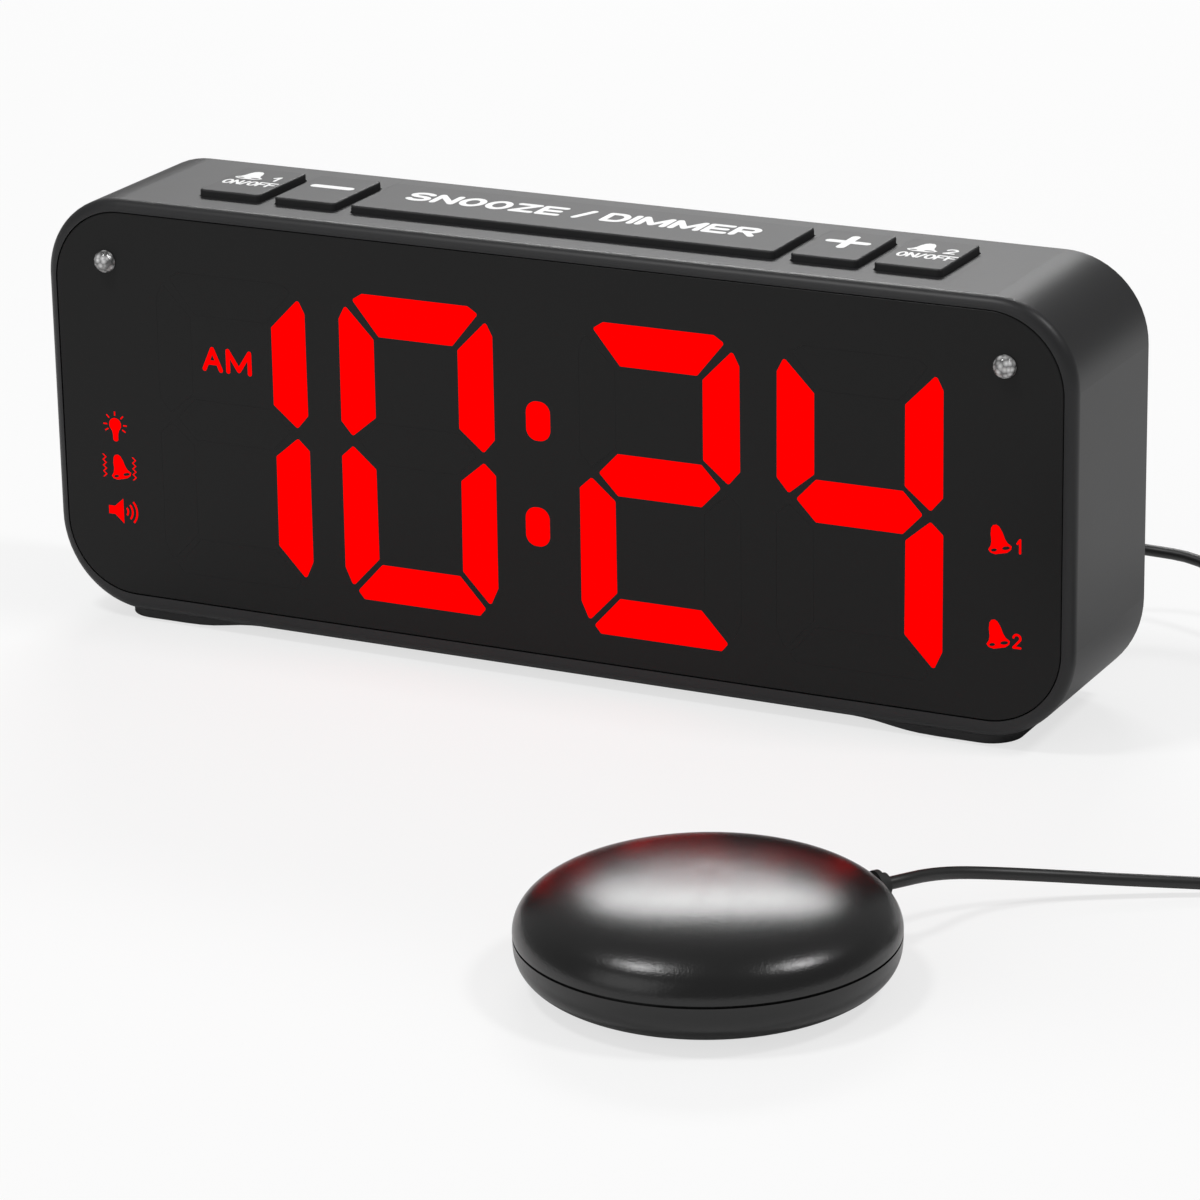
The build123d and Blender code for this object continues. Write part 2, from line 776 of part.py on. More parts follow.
# Speaker behind the grille
speaker_plane = Plane(origin=(speaker_x, cover_front, speaker_z), x_dir=(1, 0, 0), z_dir=(0, 0, -1))
with BuildPart() as speaker:
    with BuildSketch(speaker_plane):
        with BuildLine():
            Polyline((0, speaker_cone_depth), (speaker_dome_radius, speaker_cone_depth),
                     (speaker_cone_radius, 0), (speaker_radius, 0), (speaker_radius, speaker_flange),
                     (speaker_cone_radius, speaker_flange), (speaker_magnet_radius, speaker_basket_depth),
                     (speaker_magnet_radius, speaker_depth), (0, speaker_depth), close=True)
        make_face()
    revolve(axis=Axis((speaker_x, cover_front, speaker_z), (0, 1, 0)))
finish(speaker, "speaker")

# Power inlet with its pin, and the shaker's socket
with BuildPart() as dc_jack:
    with BuildSketch(front_plane(main_back)):
        with Locations((inlet_x, socket_z)):
            Rectangle(inlet_width, inlet_height)
    extrude(amount=-(cover_front - main_back))
    with BuildSketch(front_plane(cover_front)):
        with Locations((inlet_x, socket_z)):
            Circle(inlet_nose_radius)
    extrude(amount=-cover_thickness)
    with BuildSketch(front_plane(cover_rear)):
        with Locations((inlet_x, socket_z)):
            Circle(inlet_bore_radius)
            Circle(inlet_pin_radius, mode=Mode.SUBTRACT)
    extrude(amount=inlet_bore_depth, mode=Mode.SUBTRACT)
finish(dc_jack, "dc_jack")

plug_start = cover_rear + plug_gap
with BuildPart() as shaker_jack:
    with BuildSketch(front_plane(main_back)):
        with Locations((jack_x, socket_z)):
            Rectangle(jack_size, jack_size)
    extrude(amount=-(cover_front - main_back))
    with BuildSketch(front_plane(cover_front)):
        with Locations((jack_x, socket_z)):
            Circle(jack_nose_radius)
    extrude(amount=-cover_thickness)
    with BuildSketch(front_plane(cover_rear)):
        with Locations((jack_x, socket_z)):
            Circle(plug_tip_radius + running_clearance)
    extrude(amount=plug_tip_length, mode=Mode.SUBTRACT)
finish(shaker_jack, "shaker_jack")

plug_end = plug_start + plug_body_length + plug_relief_length
with BuildPart() as jack_plug:
    with BuildSketch(front_plane(plug_start)):
        with Locations((jack_x, socket_z)):
            Circle(plug_tip_radius)
    extrude(amount=plug_tip_length)
    with BuildSketch(front_plane(plug_start)):
        with Locations((jack_x, socket_z)):
            Circle(plug_body_radius)
    extrude(amount=-plug_body_length)
    with BuildSketch(front_plane(plug_start + plug_body_length)):
        with Locations((jack_x, socket_z)):
            Circle(plug_relief_radius)
    with BuildSketch(front_plane(plug_end)):
        with Locations((jack_x, socket_z)):
            Circle(cord_radius + plug_gap)
    loft()
finish(jack_plug, "jack_plug")

# Rear keys over their switches, and the mode slider over its switch
key_back = cover_front - running_clearance
stem_end = main_back + switch_height + switch_plunger + rear_key_travel + running_clearance
for name, place in rear_key_spots.items():
    with BuildPart() as rear_key:
        with BuildSketch(front_plane(key_back)):
            with Locations((place, rear_key_z)):
                Circle(rear_key_radius)
        extrude(amount=-(cover_rear + rear_key_proud - key_back))
        with BuildSketch(front_plane(key_back)):
            with Locations((place, rear_key_z)):
                Circle(rear_key_radius + rear_key_flange)
        extrude(amount=rear_key_flange_thickness)
        with BuildSketch(front_plane(key_back)):
            with Locations((place, rear_key_z)):
                Circle(rear_key_stem_radius)
        extrude(amount=key_back - stem_end)
    finish(rear_key, name)

with BuildPart() as rear_switches:
    for place in rear_key_spots.values():
        with BuildSketch(front_plane(main_back)):
            with Locations((place, rear_key_z)):
                Rectangle(switch_width, switch_width)
        extrude(amount=-switch_height)
        with BuildSketch(front_plane(main_back)):
            with Locations((place, rear_key_z)):
                Circle(switch_plunger_radius)
        extrude(amount=-(switch_height + switch_plunger))
    with BuildSketch(front_plane(main_back)):
        with Locations((slider_x, rear_key_z)):
            Rectangle(slider_switch_width, slider_switch_height)
    extrude(amount=-slider_switch_depth)
finish(rear_switches, "rear_switches")

plate_rear = cover_front - slider_clearance
plate_front = plate_rear - slider_plate_thickness
with BuildPart() as mode_slider:
    with BuildSketch(front_plane(plate_front)):
        with Locations((slider_x, rear_key_z)):
            Rectangle(slider_plate_width, slider_plate_height)
    extrude(amount=-slider_plate_thickness)
    with BuildSketch(front_plane(plate_rear)):
        with Locations((slider_x, rear_key_z)):
            Rectangle(slider_knob_width, slider_knob_height)
    extrude(amount=-(cover_rear + rear_key_proud - plate_rear))
    with BuildSketch(front_plane(plate_front)):
        with Locations((slider_x, rear_key_z)):
            Rectangle(slider_leg, slider_leg)
    extrude(amount=plate_front - main_back - slider_switch_depth - slider_clearance)
finish(mode_slider, "mode_slider")

# Shaker puck: each half is turned from a rounded curve, outside and inside alike
def puck_point(radius, height, power, turn):
    return (radius * cos(turn) ** (2 / power), puck_seam + height * sin(turn) ** (2 / power))


def puck_curve(radius, height, power, floor=None):
    last = pi / 2
    if floor is not None:
        last = asin(((floor - puck_seam) / height) ** (power / 2))
    return [puck_point(radius, height, power, last * step / puck_curve_steps)
            for step in range(puck_curve_steps + 1)]


def turned_bowl(curve):
    tip = curve[-1]
    with BuildPart() as bowl:
        with BuildSketch(Plane.XZ):
            with BuildLine():
                Spline(*curve)
                if tip[0] > contact_clearance:
                    Polyline(tip, (0, tip[1]), (0, puck_seam), curve[0])
                else:
                    Polyline(tip, (0, puck_seam), curve[0])
            make_face()
        revolve(axis=Axis.Z)
    return bowl.part.moved(Location((puck_x, puck_y, 0)))


top_curve = puck_curve(puck_radius, puck_dome, puck_dome_power)
top_curve[-1] = (0, puck_seam + puck_dome)
top_inner_curve = puck_curve(puck_radius - puck_wall, puck_dome - puck_wall, puck_dome_power)
top_inner_curve[-1] = (0, puck_seam + puck_dome - puck_wall)
base_curve = puck_curve(puck_radius, -puck_base, puck_base_power, puck_floor)
base_inner_curve = puck_curve(puck_radius - puck_wall, puck_wall - puck_base, puck_base_power,
                              puck_floor + puck_wall)
puck_centre = Location((puck_x, puck_y, 0))
grommet_along = (cos(radians(grommet_turn)), sin(radians(grommet_turn)), 0)


def grommet_plane(reach):
    spot = (puck_x + reach * grommet_along[0], puck_y + reach * grommet_along[1], grommet_z)
    return Plane(origin=spot, z_dir=grommet_along)


with BuildPart() as puck_top_shell:
    add(turned_bowl(top_curve))
    add(turned_bowl(top_inner_curve), mode=Mode.SUBTRACT)
    with BuildSketch(Plane.XY.offset(puck_seam)):
        with Locations(puck_centre):
            with PolarLocations(puck_post_circle, puck_post_count, start_angle=puck_post_turn):
                Circle(puck_post_radius)
    extrude(amount=puck_post_top - puck_seam)
    with BuildSketch(Plane.XY.offset(puck_seam)):
        with Locations(puck_centre):
            with PolarLocations(puck_post_circle, puck_post_count, start_angle=puck_post_turn):
                Circle(screw_radius + contact_clearance)
    extrude(amount=screw_length, mode=Mode.SUBTRACT)
    with BuildSketch(grommet_plane(grommet_inner)):
        Circle(grommet_radius + contact_clearance)
    extrude(amount=puck_radius - grommet_inner + overrun, mode=Mode.SUBTRACT)
    with BuildSketch(Plane.XY.offset(puck_seam)):
        with Locations(puck_centre):
            Circle(puck_radius + overrun)
            Circle(puck_radius - puck_groove_depth, mode=Mode.SUBTRACT)
    extrude(amount=puck_groove_half, mode=Mode.SUBTRACT)
finish(puck_top_shell, "puck_top_shell")

puck_head_floor = puck_floor + puck_wall
with BuildPart() as puck_bottom_shell:
    add(turned_bowl(base_curve))
    add(turned_bowl(base_inner_curve), mode=Mode.SUBTRACT)
    with BuildSketch(Plane.XY.offset(puck_floor + puck_wall / 2)):
        with Locations(puck_centre):
            with PolarLocations(puck_post_circle, puck_post_count, start_angle=puck_post_turn):
                Circle(puck_post_radius)
    extrude(amount=puck_seam - puck_floor - puck_wall / 2)
    with BuildSketch(Plane.XY.offset(puck_floor)):
        with Locations(puck_centre):
            with PolarLocations(puck_post_circle, puck_post_count, start_angle=puck_post_turn):
                Circle(screw_radius + contact_clearance)
    extrude(amount=puck_seam - puck_floor, mode=Mode.SUBTRACT)
    with BuildSketch():
        with Locations(puck_centre):
            with PolarLocations(puck_post_circle, puck_post_count, start_angle=puck_post_turn):
                Circle(screw_head_radius + contact_clearance)
    extrude(amount=puck_head_floor, mode=Mode.SUBTRACT)
    with BuildSketch():
        with Locations(puck_centre):
            Circle(puck_ring_outer)
            Circle(puck_ring_inner, mode=Mode.SUBTRACT)
    extrude(amount=puck_ring_thickness, mode=Mode.SUBTRACT)
    with BuildSketch(grommet_plane(grommet_inner)):
        Circle(grommet_radius + contact_clearance)
    extrude(amount=puck_radius - grommet_inner + overrun, mode=Mode.SUBTRACT)
    with BuildSketch(Plane.XY.offset(puck_seam)):
        with Locations(puck_centre):
            Circle(puck_radius + overrun)
            Circle(puck_radius - puck_groove_depth, mode=Mode.SUBTRACT)
    extrude(amount=-puck_groove_half, mode=Mode.SUBTRACT)
finish(puck_bottom_shell, "puck_bottom_shell")

with BuildPart() as puck_foot_ring:
    with BuildSketch():
        with Locations(puck_centre):
            Circle(puck_ring_outer)
            Circle(puck_ring_inner, mode=Mode.SUBTRACT)
    extrude(amount=puck_ring_thickness)
finish(puck_foot_ring, "puck_foot_ring")

puck_screw_length = puck_seam + screw_length - puck_head_floor
with BuildPart() as puck_screws:
    with BuildSketch(Plane.XY.offset(puck_head_floor - screw_head_height)):
        with Locations(puck_centre):
            with PolarLocations(puck_post_circle, puck_post_count, start_angle=puck_post_turn):
                Circle(screw_head_radius)
    extrude(amount=screw_head_height)
    with BuildSketch(Plane.XY.offset(puck_head_floor)):
        with Locations(puck_centre):
            with PolarLocations(puck_post_circle, puck_post_count, start_angle=puck_post_turn):
                Circle(screw_radius)
    extrude(amount=puck_screw_length)
finish(puck_screws, "puck_screws")


# Motor with the eccentric weight on its shaft, lying along X
def motor_plane(along):
    return Plane(origin=(puck_x + along, puck_y, motor_axis_z), x_dir=(0, 1, 0), z_dir=(1, 0, 0))


with BuildPart() as puck_motor:
    with BuildSketch(motor_plane(motor_front - motor_length)):
        Circle(motor_radius)
    extrude(amount=motor_length)
    fillet(puck_motor.edges(), motor_edge)
    with BuildSketch(motor_plane(motor_front - shaft_seat)):
        Circle(shaft_radius + running_clearance)
    extrude(amount=shaft_seat, mode=Mode.SUBTRACT)
finish(puck_motor, "puck_motor")

with BuildPart() as motor_shaft:
    with BuildSketch(motor_plane(motor_front - shaft_seat + running_clearance)):
        Circle(shaft_radius)
    extrude(amount=shaft_length + shaft_seat - running_clearance)
finish(motor_shaft, "motor_shaft")

with BuildPart() as eccentric_weight:
    with BuildSketch(motor_plane(motor_front + weight_start)) as section:
        Circle(weight_radius)
        with Locations((0, weight_radius / 2)):
            Rectangle(2 * weight_radius, weight_radius, mode=Mode.SUBTRACT)
        Circle(weight_hub_radius)
        Circle(shaft_radius + contact_clearance, mode=Mode.SUBTRACT)
    extrude(amount=weight_length)
finish(eccentric_weight, "eccentric_weight")

with BuildPart() as motor_bracket:
    with BuildSketch(Plane.XY.offset(puck_head_floor)):
        with Locations((puck_x + motor_front - motor_length / 2, puck_y)):
            Rectangle(bracket_length, bracket_width)
    extrude(amount=bracket_height)
    with BuildSketch(motor_plane(motor_front - motor_length)):
        Circle(motor_radius + contact_clearance)
    extrude(amount=motor_length, mode=Mode.SUBTRACT)
finish(motor_bracket, "motor_bracket")

# Grommet where the cord leaves the puck
with BuildPart() as cord_grommet:
    with BuildSketch(grommet_plane(grommet_inner - grommet_collar)):
        Circle(grommet_radius)
    extrude(amount=grommet_outer - grommet_inner + grommet_collar)
    with BuildSketch(grommet_plane(puck_radius + running_clearance)):
        Circle(grommet_collar_radius)
    extrude(amount=grommet_collar)
finish(cord_grommet, "cord_grommet")


# Cord: straight runs joined by arcs, each as large as its two runs allow
def corner_radii(points):
    places = [Vector(*point) for point in points]
    radii = []
    for before, corner, after in zip(places, places[1:], places[2:]):
        turn = (corner - before).get_angle(after - corner)
        shorter = min((corner - before).length, (after - corner).length)
        radii.append(arc_share * shorter / tan(radians(turn / 2)))
    return radii


def cord_tube(points, name):
    radii = corner_radii(points)
    with BuildPart() as tube:
        with BuildLine() as path:
            FilletPolyline(*points, radius=radii)
        with BuildSketch(Plane(origin=path.line @ 0, z_dir=path.line % 0)):
            Circle(cord_radius)
        sweep()
    length = path.wires()[0].length
    expected = pi * cord_radius ** 2 * length
    print(name, "length", round(length, 1), "least radius", round(min(radii), 1),
          "volume share", round(tube.part.volume / expected, 4))
    finish(tube, name)


# Coil: four layers that spiral in and out again and climb in the half turn between them
def half_turn(side, near, far, level):
    start = (coil_x + side * near, coil_y, level)
    top = (coil_x + side * (near - far) / 2, coil_y + side * (near + far) / 2, level)
    end = (coil_x - side * far, coil_y, level)
    return ThreePointArc(start, top, end)


def climbing_half_turn(side, reach, level):
    start = Vector(coil_x + side * reach, coil_y, level)
    end = Vector(coil_x - side * reach, coil_y, level + coil_rise)
    handle = (end - start).length / 2
    middle = (start + end) / 2 + Vector(0, side * handle, 0)
    first = TangentArc(start, middle, tangent=Vector(0, side, 0))
    second = TangentArc(middle, end, tangent=end - start)
    return [first, second]


coil_side = 1
coil_reach = coil_outer
coil_level = coil_floor
coil_start = (coil_x + coil_outer, coil_y - 2 * cord_radius, coil_floor)
coil_edges = [Line(coil_start, (coil_x + coil_outer, coil_y, coil_floor))]
for turns, step in ((coil_turns_in, -coil_step), (coil_turns_out, coil_step),
                    (coil_turns_in, -coil_step), (coil_last_turns, coil_step)):
    for turn in range(turns):
        coil_edges.append(half_turn(coil_side, coil_reach, coil_reach + step, coil_level))
        coil_reach += step
        coil_side = -coil_side
    if turns != coil_last_turns:
        coil_edges += climbing_half_turn(coil_side, coil_reach, coil_level)
        coil_level += coil_rise
        coil_side = -coil_side
coil_leave = coil_reach + coil_step / 2
coil_top = (coil_x + coil_reach - coil_leave, coil_y + coil_leave, coil_level)
coil_end = (coil_top[0] - 2 * cord_radius, coil_top[1], coil_level)
coil_edges.append(TangentArc((coil_x + coil_reach, coil_y, coil_level), coil_top, tangent=(0, 1, 0)))
coil_edges.append(Line(coil_top, coil_end))

with BuildPart() as cord_coil:
    with BuildLine() as coil_path:
        add(coil_edges)
    with BuildSketch(Plane(origin=coil_start, z_dir=(0, 1, 0))):
        Circle(cord_radius)
    sweep()
finish(cord_coil, "cord_coil")

coil_wire = coil_path.wires()[0]
sample_gap = cord_radius
sample_count = round(coil_wire.length / sample_gap)
samples = [coil_wire.position_at(step / sample_count) for step in range(sample_count + 1)]
reach_apart = round(4 * pi * cord_radius / sample_gap)
least_gap = min((a - b).length for i, a in enumerate(samples) for b in samples[i + reach_apart:]
                if abs(a.Z - b.Z) < 2 * coil_rise) - 2 * cord_radius
print("cord_coil length", round(coil_wire.length, 1), "least gap", round(least_gap, 2),
      "volume share", round(cord_coil.part.volume / (pi * cord_radius ** 2 * coil_wire.length), 4))

puck_exit = grommet_plane(grommet_outer).origin
puck_run_end = puck_exit + exit_run * Vector(*grommet_along)
cord_tube([puck_exit, puck_run_end, *puck_route, coil_start], "cord_puck_side")
plug_exit = (jack_x, plug_end, socket_z)
plug_run_end = (jack_x, plug_end + plug_run, socket_z)
coil_run_start = (coil_end[0] - coil_run, coil_end[1], coil_end[2])
cord_tube([plug_exit, plug_run_end, *clock_route, coil_run_start, coil_end], "cord_clock_side")
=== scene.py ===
# Bed shaker alarm clock: finish, lettering, cord, light and camera
# Lengths are in millimetres and angles in degrees, except where a note says metres
import math

import bmesh
import bpy
from mathutils import Matrix, Vector


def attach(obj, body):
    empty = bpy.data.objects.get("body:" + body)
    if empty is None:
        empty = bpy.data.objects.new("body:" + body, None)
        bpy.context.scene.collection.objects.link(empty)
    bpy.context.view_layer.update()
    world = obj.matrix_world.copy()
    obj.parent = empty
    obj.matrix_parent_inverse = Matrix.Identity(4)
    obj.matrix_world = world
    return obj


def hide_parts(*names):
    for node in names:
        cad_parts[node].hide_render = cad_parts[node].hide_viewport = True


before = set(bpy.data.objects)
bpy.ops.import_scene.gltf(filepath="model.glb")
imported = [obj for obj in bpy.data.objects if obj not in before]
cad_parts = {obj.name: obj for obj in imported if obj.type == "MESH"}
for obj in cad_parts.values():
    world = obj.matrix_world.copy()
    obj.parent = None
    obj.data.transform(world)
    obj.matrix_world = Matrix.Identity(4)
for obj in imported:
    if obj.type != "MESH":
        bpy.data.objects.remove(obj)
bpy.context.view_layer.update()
scene = bpy.context.scene
print("frame loaded:", len(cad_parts), "nodes")

mm = 0.001

# Camera, at the photograph's viewing angle
cameraSetup = {
    "place": (448.6, -887.4, 349.0),
    "yaw": 26.65,
    "pitch": 18.75,
    "roll": -1.02,
    "lens": 153.1,
    "sensor": 36,
}


def addCamera(setup):
    yaw, pitch, roll = (math.radians(setup[key]) for key in ("yaw", "pitch", "roll"))
    back = Vector((math.sin(yaw) * math.cos(pitch), -math.cos(yaw) * math.cos(pitch), math.sin(pitch)))
    side = (-back).cross(Vector((0, 0, 1))).normalized()
    over = side.cross(-back)
    right = math.cos(roll) * side + math.sin(roll) * over
    up = math.cos(roll) * over - math.sin(roll) * side
    turn = Matrix((right, up, back)).transposed().to_4x4()
    data = bpy.data.cameras.new("camera")
    data.lens = setup["lens"]
    data.sensor_width = setup["sensor"]
    camera = bpy.data.objects.new("camera", data)
    camera.matrix_world = Matrix.Translation(Vector(setup["place"]) * mm) @ turn
    scene.collection.objects.link(camera)
    scene.camera = camera


addCamera(cameraSetup)
print("camera placed")

# Cord: one limp cable from the puck, through its coil, to the plug behind the clock
cordSetup = {
    "radius": 1.2,
    "length": 1.75,      # metres
    "coilCentre": (178.0, -10.0),
    "coilOuter": 22.9,
    "coilStep": 1.65,
    "coilRise": 3.15,
    "coilFloor": 1.25,
    "coilLead": 0.8,
    "turnPoints": 8,     # in each half turn
    # half turns of each run, and whether it goes in (-1), out (1) or up (0)
    "coilRuns": ((6, -1), (1, 0), (6, 1), (1, 0), (6, -1), (1, 0), (5, 1), (0.5, 1)),
    "sideSteps": 4,
    "runSteps": 4,
}
puckExit = (117.18, -116.18, 10.6)
puckRoute = [
    (119.19, -113.32, 10.6), (121.0, -107.0, 9.6), (123.9, -100.0, 8.0), (129.5, -93.2, 6.2),
    (137.5, -86.9, 4.7), (146.8, -81.3, 3.5), (158.5, -75.1, 2.5), (171.5, -69.5, 1.8),
    (183.0, -61.5, 1.4), (193.0, -50.0, 1.3), (199.0, -37.0, 1.25), (200.9, -24.5, 1.25),
    (200.9, -15.0, 1.25),
]
clockRoute = [
    (168.0, 12.1, 10.7), (160.6, 13.6, 8.2), (154.0, 19.5, 4.6), (147.5, 28.0, 2.8),
    (141.0, 39.5, 3.2), (133.0, 50.5, 6.8), (122.5, 60.0, 11.5), (109.5, 66.2, 14.8),
    (97.2, 67.6, 14.7), (88.4, 64.4, 15.8), (84.0, 57.4, 17.0),
]
plugExit = (84.0, 49.4, 17.0)


def coilPoints(setup):
    # four layers in and out again, climbing in the half turn between them
    points = []
    centreX, centreY = setup["coilCentre"]
    side, reach, level = 1, setup["coilOuter"], setup["coilFloor"]
    steps = setup["turnPoints"]
    swell = 1 / math.cos(math.pi / steps / 2)      # the curve lies inside its control points
    for halfTurns, change in setup["coilRuns"]:
        for step in range(round(halfTurns * steps)):
            turn = step / steps
            radius = (reach + change * setup["coilStep"] * turn) * swell
            angle = math.pi * (turn + (side < 0))
            climb = 0 if change else setup["coilRise"] * (1 - math.cos(math.pi * turn)) / 2
            points.append((centreX + radius * math.cos(angle), centreY + radius * math.sin(angle),
                           level + climb))
        reach += change * setup["coilStep"] * halfTurns
        level += 0 if change else setup["coilRise"]
        side *= -1 if halfTurns % 2 else 1
    return points


def addCord(setup):
    coil = coilPoints(setup)
    centreX, centreY = setup["coilCentre"]
    leave = setup["coilOuter"] - setup["coilStep"] / 2
    top = (centreX - setup["coilLead"], centreY + leave, coil[-1][2])
    after = (top[0] - 2 * setup["radius"], top[1], top[2])
    route = [puckExit, *puckRoute, *coil, top, after, *clockRoute, plugExit]
    curve = bpy.data.curves.new("shakerCord", "CURVE")
    curve.dimensions = "3D"
    curve.bevel_depth = 1      # each point's own radius scales it, and keeps the curve's box tight
    curve.bevel_resolution = setup["sideSteps"]
    curve.resolution_u = setup["runSteps"]
    curve.use_fill_caps = True
    spline = curve.splines.new("NURBS")
    spline.points.add(len(route) - 1)
    for point, place in zip(spline.points, route):
        point.co = (*(Vector(place) * mm), 1)
        point.radius = setup["radius"] * mm
    spline.order_u = 3
    spline.use_endpoint_u = True
    cord = bpy.data.objects.new("shakerCord", curve)
    scene.collection.objects.link(cord)
    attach(cord, "case")
    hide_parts("cord_puck_side", "cord_coil", "cord_clock_side")
    return cord


shakerCord = addCord(cordSetup)
print("cord laid")

# Shared effects, as node groups
grainSetup = {
    "size": 1500.0,
    "contrast": 0.5,
    "detail": 4,
    "cloudSize": 22,
    "cloudDetail": 3,
}


def newGroup(name, inputs, outputs):
    group = bpy.data.node_groups.new(name, "ShaderNodeTree")
    for label, kind, value in inputs:
        socket = group.interface.new_socket(label, in_out="INPUT", socket_type=kind)
        if value is not None:
            socket.default_value = value
    for label, kind in outputs:
        group.interface.new_socket(label, in_out="OUTPUT", socket_type=kind)
    return group, group.nodes.new("NodeGroupInput"), group.nodes.new("NodeGroupOutput")


def makeGrainGroup(setup):
    # fine moulded grain: a height, and a small spread of tone
    group, entry, leave = newGroup(
        "mouldedGrain",
        [("Vector", "NodeSocketVector", None), ("Size", "NodeSocketFloat", setup["size"]),
         ("Contrast", "NodeSocketFloat", setup["contrast"])],
        [("Height", "NodeSocketFloat"), ("Tone", "NodeSocketFloat")])
    noise = group.nodes.new("ShaderNodeTexNoise")
    noise.inputs["Detail"].default_value = setup["detail"]
    cloud = group.nodes.new("ShaderNodeTexNoise")
    cloud.inputs["Scale"].default_value = setup["cloudSize"]
    cloud.inputs["Detail"].default_value = setup["cloudDetail"]
    centre = group.nodes.new("ShaderNodeMath")      # moves the noise's middle, 0.5, to zero
    centre.operation = "SUBTRACT"
    centre.inputs[1].default_value = 0.5
    spread = group.nodes.new("ShaderNodeMath")      # and back, once the contrast has scaled it
    spread.operation = "MULTIPLY_ADD"
    spread.inputs[2].default_value = 0.5
    links = group.links
    links.new(entry.outputs["Vector"], noise.inputs["Vector"])
    links.new(entry.outputs["Size"], noise.inputs["Scale"])
    links.new(entry.outputs["Vector"], cloud.inputs["Vector"])
    links.new(cloud.outputs["Fac"], centre.inputs[0])
    links.new(centre.outputs["Value"], spread.inputs[0])
    links.new(entry.outputs["Contrast"], spread.inputs[1])
    links.new(noise.outputs["Fac"], leave.inputs["Height"])
    links.new(spread.outputs["Value"], leave.inputs["Tone"])
    return group


grainGroup = makeGrainGroup(grainSetup)

# Materials
plasticSetup = {
    "glossSpread": 0.05,
    "grainHeight": 0.0002,      # metres
}


def newMaterial(name):
    material = bpy.data.materials.new(name)
    material.use_nodes = True
    shader = material.node_tree.nodes["Principled BSDF"]
    return material, material.node_tree, shader


def mouldedPlastic(name, dark, light, roughness, size=grainSetup["size"], depth=0.02,
                   contrast=grainSetup["contrast"], specular=0.5):
    # plastic or rubber with its grain: the tone moves between the dark and the light colour
    material, tree, shader = newMaterial(name)
    place = tree.nodes.new("ShaderNodeTexCoord")
    grain = tree.nodes.new("ShaderNodeGroup")
    grain.node_tree = grainGroup
    grain.inputs["Size"].default_value = size
    grain.inputs["Contrast"].default_value = contrast
    tone = tree.nodes.new("ShaderNodeMix")
    tone.data_type = "RGBA"
    tone.inputs[6].default_value = (*dark, 1)
    tone.inputs[7].default_value = (*light, 1)
    gloss = tree.nodes.new("ShaderNodeMapRange")
    gloss.inputs["To Min"].default_value = roughness - plasticSetup["glossSpread"]
    gloss.inputs["To Max"].default_value = roughness + plasticSetup["glossSpread"]
    bump = tree.nodes.new("ShaderNodeBump")
    bump.inputs["Strength"].default_value = depth
    bump.inputs["Distance"].default_value = plasticSetup["grainHeight"]
    links = tree.links
    links.new(place.outputs["Object"], grain.inputs["Vector"])
    links.new(grain.outputs["Tone"], tone.inputs[0])
    links.new(tone.outputs[2], shader.inputs["Base Color"])
    links.new(grain.outputs["Tone"], gloss.inputs["Value"])
    links.new(gloss.outputs["Result"], shader.inputs["Roughness"])
    links.new(grain.outputs["Height"], bump.inputs["Height"])
    links.new(bump.outputs["Normal"], shader.inputs["Normal"])
    shader.inputs["Specular IOR Level"].default_value = specular
    return material


metalSetup = {
    "brushing": (1, 12, 12),
    "scale": 400,
    "glossSpread": 0.08,
}


def brushedMetal(name, colour, roughness):
    # metal whose gloss changes in fine streaks along X
    material, tree, shader = newMaterial(name)
    place = tree.nodes.new("ShaderNodeTexCoord")
    stretch = tree.nodes.new("ShaderNodeMapping")
    stretch.inputs["Scale"].default_value = metalSetup["brushing"]
    noise = tree.nodes.new("ShaderNodeTexNoise")
    noise.inputs["Scale"].default_value = metalSetup["scale"]
    gloss = tree.nodes.new("ShaderNodeMapRange")
    gloss.inputs["To Min"].default_value = roughness - metalSetup["glossSpread"]
    gloss.inputs["To Max"].default_value = roughness + metalSetup["glossSpread"]
    links = tree.links
    links.new(place.outputs["Object"], stretch.inputs["Vector"])
    links.new(stretch.outputs["Vector"], noise.inputs["Vector"])
    links.new(noise.outputs["Fac"], gloss.inputs["Value"])
    links.new(gloss.outputs["Result"], shader.inputs["Roughness"])
    shader.inputs["Base Color"].default_value = (*colour, 1)
    shader.inputs["Metallic"].default_value = 1
    return material


glowSetup = {
    "scale": 60,
    "dimShare": 0.94,
    "face": (0.9, 0, 0),
    "roughness": 0.6,
}


def glowing(name, colour, strength):
    # a lit bar: its glow hardly moves over its face
    material, tree, shader = newMaterial(name)
    place = tree.nodes.new("ShaderNodeTexCoord")
    noise = tree.nodes.new("ShaderNodeTexNoise")
    noise.inputs["Scale"].default_value = glowSetup["scale"]
    tone = tree.nodes.new("ShaderNodeMix")
    tone.data_type = "RGBA"
    tone.inputs[6].default_value = (colour[0] * glowSetup["dimShare"], colour[1], colour[2], 1)
    tone.inputs[7].default_value = (*colour, 1)
    links = tree.links
    links.new(place.outputs["Object"], noise.inputs["Vector"])
    links.new(noise.outputs["Fac"], tone.inputs[0])
    links.new(tone.outputs[2], shader.inputs["Emission Color"])
    shader.inputs["Emission Strength"].default_value = strength
    shader.inputs["Base Color"].default_value = (*glowSetup["face"], 1)
    shader.inputs["Roughness"].default_value = glowSetup["roughness"]
    shader.inputs["Specular IOR Level"].default_value = 0.0
    return material


flashSetup = {
    "facetScale": 900,
    "facetReach": 0.7,
    # painted glint in the middle of each facet and painted shade at its edges, as tones of the lens colour
    "paintedGlint": 0.95,
    "paintedFacetShade": 0.12,
    "facetDepth": 0.6,
    "facetHeight": 0.0004,      # metres
    "roughness": 0.12,
    "coat": 1.0,
}


